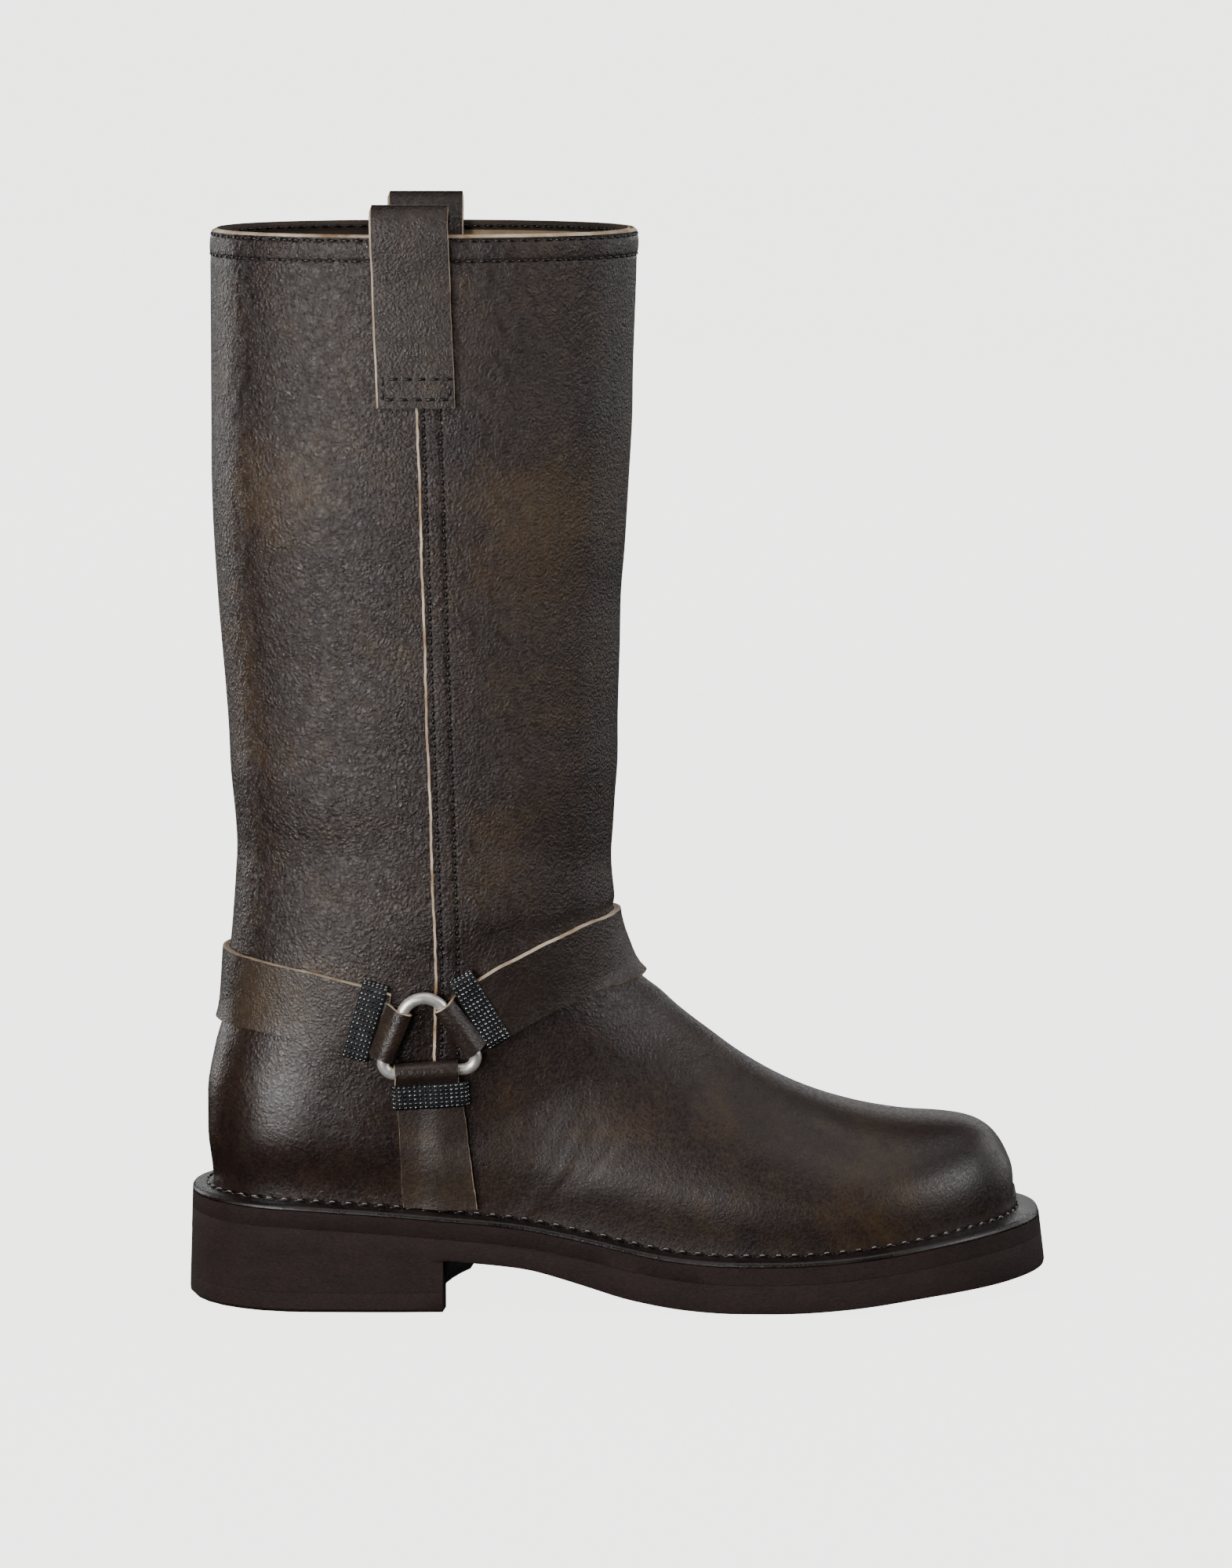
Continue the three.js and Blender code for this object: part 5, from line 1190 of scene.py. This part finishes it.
# the bands were pushed on by hand and sit a little less steep than the straps' ends: degrees
ASKEW = {"rear": 5.0, "front": -5.0, "under": 0.0}
for flank, (origin, ahead, up, out, side) in RING_FRAMES.items():
    for name, (away, start, end) in SIDES.items():
        middle2 = (start + end) / 2
        centre2 = middle2 + away * KEEPER_REACH
        c, s = math.cos(math.radians(ASKEW[name])), math.sin(math.radians(ASKEW[name]))
        away = np.array([away[0] * c - away[1] * s, away[0] * s + away[1] * c])
        cross2 = np.array([-away[1], away[0]])
        # the long way of the band lies across the strap, and is bent down at both of its edges
        half_strap = STRAP_WIDTH / 2 + 0.5 if name != "under" else 10.9
        flat_run = [(t * half_strap, 1.0) for t in np.linspace(-1, 1, 23)]
        arc = np.radians(np.linspace(15, 90, 5))
        left = [(-half_strap - math.sin(a) * KEEPER_BEND, math.cos(a)) for a in arc[::-1]]
        right = [(half_strap + math.sin(a) * KEEPER_BEND, math.cos(a)) for a in arc]
        longways = left + flat_run + right
        rows = []
        for s, lift in longways:
            row = []
            for t in np.linspace(-0.5, 0.5, KEEPER_COLUMNS):
                flat = centre2 + cross2 * s + away * t * KEEPER_WIDTH
                x, z = RING_X + flat[0], RING_Z + flat[1]
                base = float(side_y(x, z, side)) + side * (float(panel_step(x, z)) + FIT)
                near_ring = 1.3 * (0.5 - t) * 0.8
                height = (STRAP + 0.25 + near_ring) * lift + 0.25
                row.append((x, base + side * height, z))
            rows.append(row)
        grid = np.array(rows)
        tape_faces = grid_faces(len(rows), KEEPER_COLUMNS)
        tape = new_piece(f"keeper_tape_{name}_{flank}", grid.reshape(-1, 3), tape_faces, [mesh_tape])
        centre_face = tape.data.polygons[len(tape.data.polygons) // 2]
        if centre_face.normal[1] * side < 0:
            tape.data.flip_normals()
        add_modifier(tape, "SOLIDIFY", thickness=0.0007, offset=-1)
        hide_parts(f"keeper_{name}_{flank}")
        # the beads sit in straight rows along the tape
        path = grid.mean(axis=1)
        lengths = np.concatenate([[0], np.cumsum(np.linalg.norm(np.diff(path, axis=0), axis=1))])
        count = int(lengths[-1] // BEAD_PITCH)
        places = np.linspace(BEAD_PITCH / 2, lengths[-1] - BEAD_PITCH / 2, count)
        vertices, faces = [], []
        for r in range(BEAD_ROWS):
            share = (r + 0.5) / BEAD_ROWS * (KEEPER_COLUMNS - 1)
            low = int(share)
            line = blend_to(grid[:, low], grid[:, low + 1], share - low)
            for p in places:
                at = np.array([np.interp(p, lengths, line[:, k]) for k in range(3)])
                base = len(vertices)
                vertices += list(at + bead_vertices)
                faces += [[base + i for i in f] for f in bead_faces]
        beads = new_piece(f"keeper_beads_{name}_{flank}", np.array(vertices), faces, [bead_metal])


# STUDIO: a pale paper sweep under and behind the boot. A tall softbox stands to the left and a small one
# low beside it, with weaker ones above, at the right and behind, and a little light comes back from the
# floor.
bpy.ops.object.select_all(action="DESELECT")
SWEEP_HALF, UNDER_BOOT = 4.0, 0.0002
sweep = fine_line([(-1.6, 0.0), (0.9, 0.0), (1.5, 0.06), (1.95, 0.35), (2.15, 0.9), (2.2, 3.2)], 60)
vertices = [(x, y, z - UNDER_BOOT) for y, z in sweep for x in (-SWEEP_HALF, SWEEP_HALF)]
faces = [(2 * k, 2 * k + 1, 2 * k + 3, 2 * k + 2) for k in range(len(sweep) - 1)]
paper_mesh = bpy.data.meshes.new("paper_sweep")
paper_mesh.from_pydata(vertices, [], faces)
paper = bpy.data.objects.new("paper_sweep", paper_mesh)
bpy.context.scene.collection.objects.link(paper)
paper_material, tree, shader, where = new_material("matt_background_paper")
shader.inputs["Base Color"].default_value = linear("#8c8c8a")
shader.inputs["Roughness"].default_value = 0.95
shader.inputs["Specular IOR Level"].default_value = 0.0
shader.inputs["Emission Color"].default_value = linear("#e7e7e5")
shader.inputs["Emission Strength"].default_value = 4.1
paper_mesh.materials.append(paper_material)
paper.visible_diffuse = False
paper.visible_glossy = False

world = bpy.data.worlds.new("studio")
world.use_nodes = True
world.node_tree.nodes["Background"].inputs["Color"].default_value = linear("#e7e7e5")
world.node_tree.nodes["Background"].inputs["Strength"].default_value = 4.4
world.cycles_visibility.diffuse = False
world.cycles_visibility.glossy = False
bpy.context.scene.world = world
# place, target, width, height, watts: metres from the boot's origin
LIGHTS = {"softbox_left": ((-1.05, -1.3, 0.55), (0.02, 0, 0.2), 0.42, 1.1, 25.0),
          "window_low": ((-0.55, -1.82, 0.17), (0.0, 0, 0.07), 0.34, 0.22, 11.0),
          "floor_bounce": ((-0.4, -0.5, 0.004), (-0.4, -0.5, 1.0), 0.8, 0.5, 2.4),
          "overhead_front": ((0.15, -0.6, 1.9), (0.08, 0, 0.15), 1.5, 0.8, 9.0),
          "toe_top": ((0.8, 0.4, 1.35), (0.2, 0, 0.05), 0.6, 0.4, 1.6),
          "fill_right": ((1.7, -0.45, 0.7), (0.1, 0, 0.15), 0.9, 0.9, 15.0),
          "rim_back": ((0.25, 1.7, 0.5), (0.12, 0, 0.1), 1.8, 0.3, 4.0),
          "rim_left": ((-1.25, 1.35, 0.5), (0.0, 0, 0.2), 0.5, 1.2, 8.0),
          "rim_right": ((1.6, 1.4, 0.5), (0.1, 0, 0.15), 0.4, 1.2, 5.0)}
for name, (place, target, width, height, watts) in LIGHTS.items():
    lamp = bpy.data.lights.new(name, "AREA")
    lamp.shape, lamp.size, lamp.size_y, lamp.energy = "RECTANGLE", width, height, watts
    lamp_object = bpy.data.objects.new(name, lamp)
    lamp_object.location = place
    lamp_object.rotation_euler = (Vector(target) - Vector(place)).to_track_quat("-Z", "Y").to_euler()
    lamp_object.visible_camera = False
    bpy.context.scene.collection.objects.link(lamp_object)
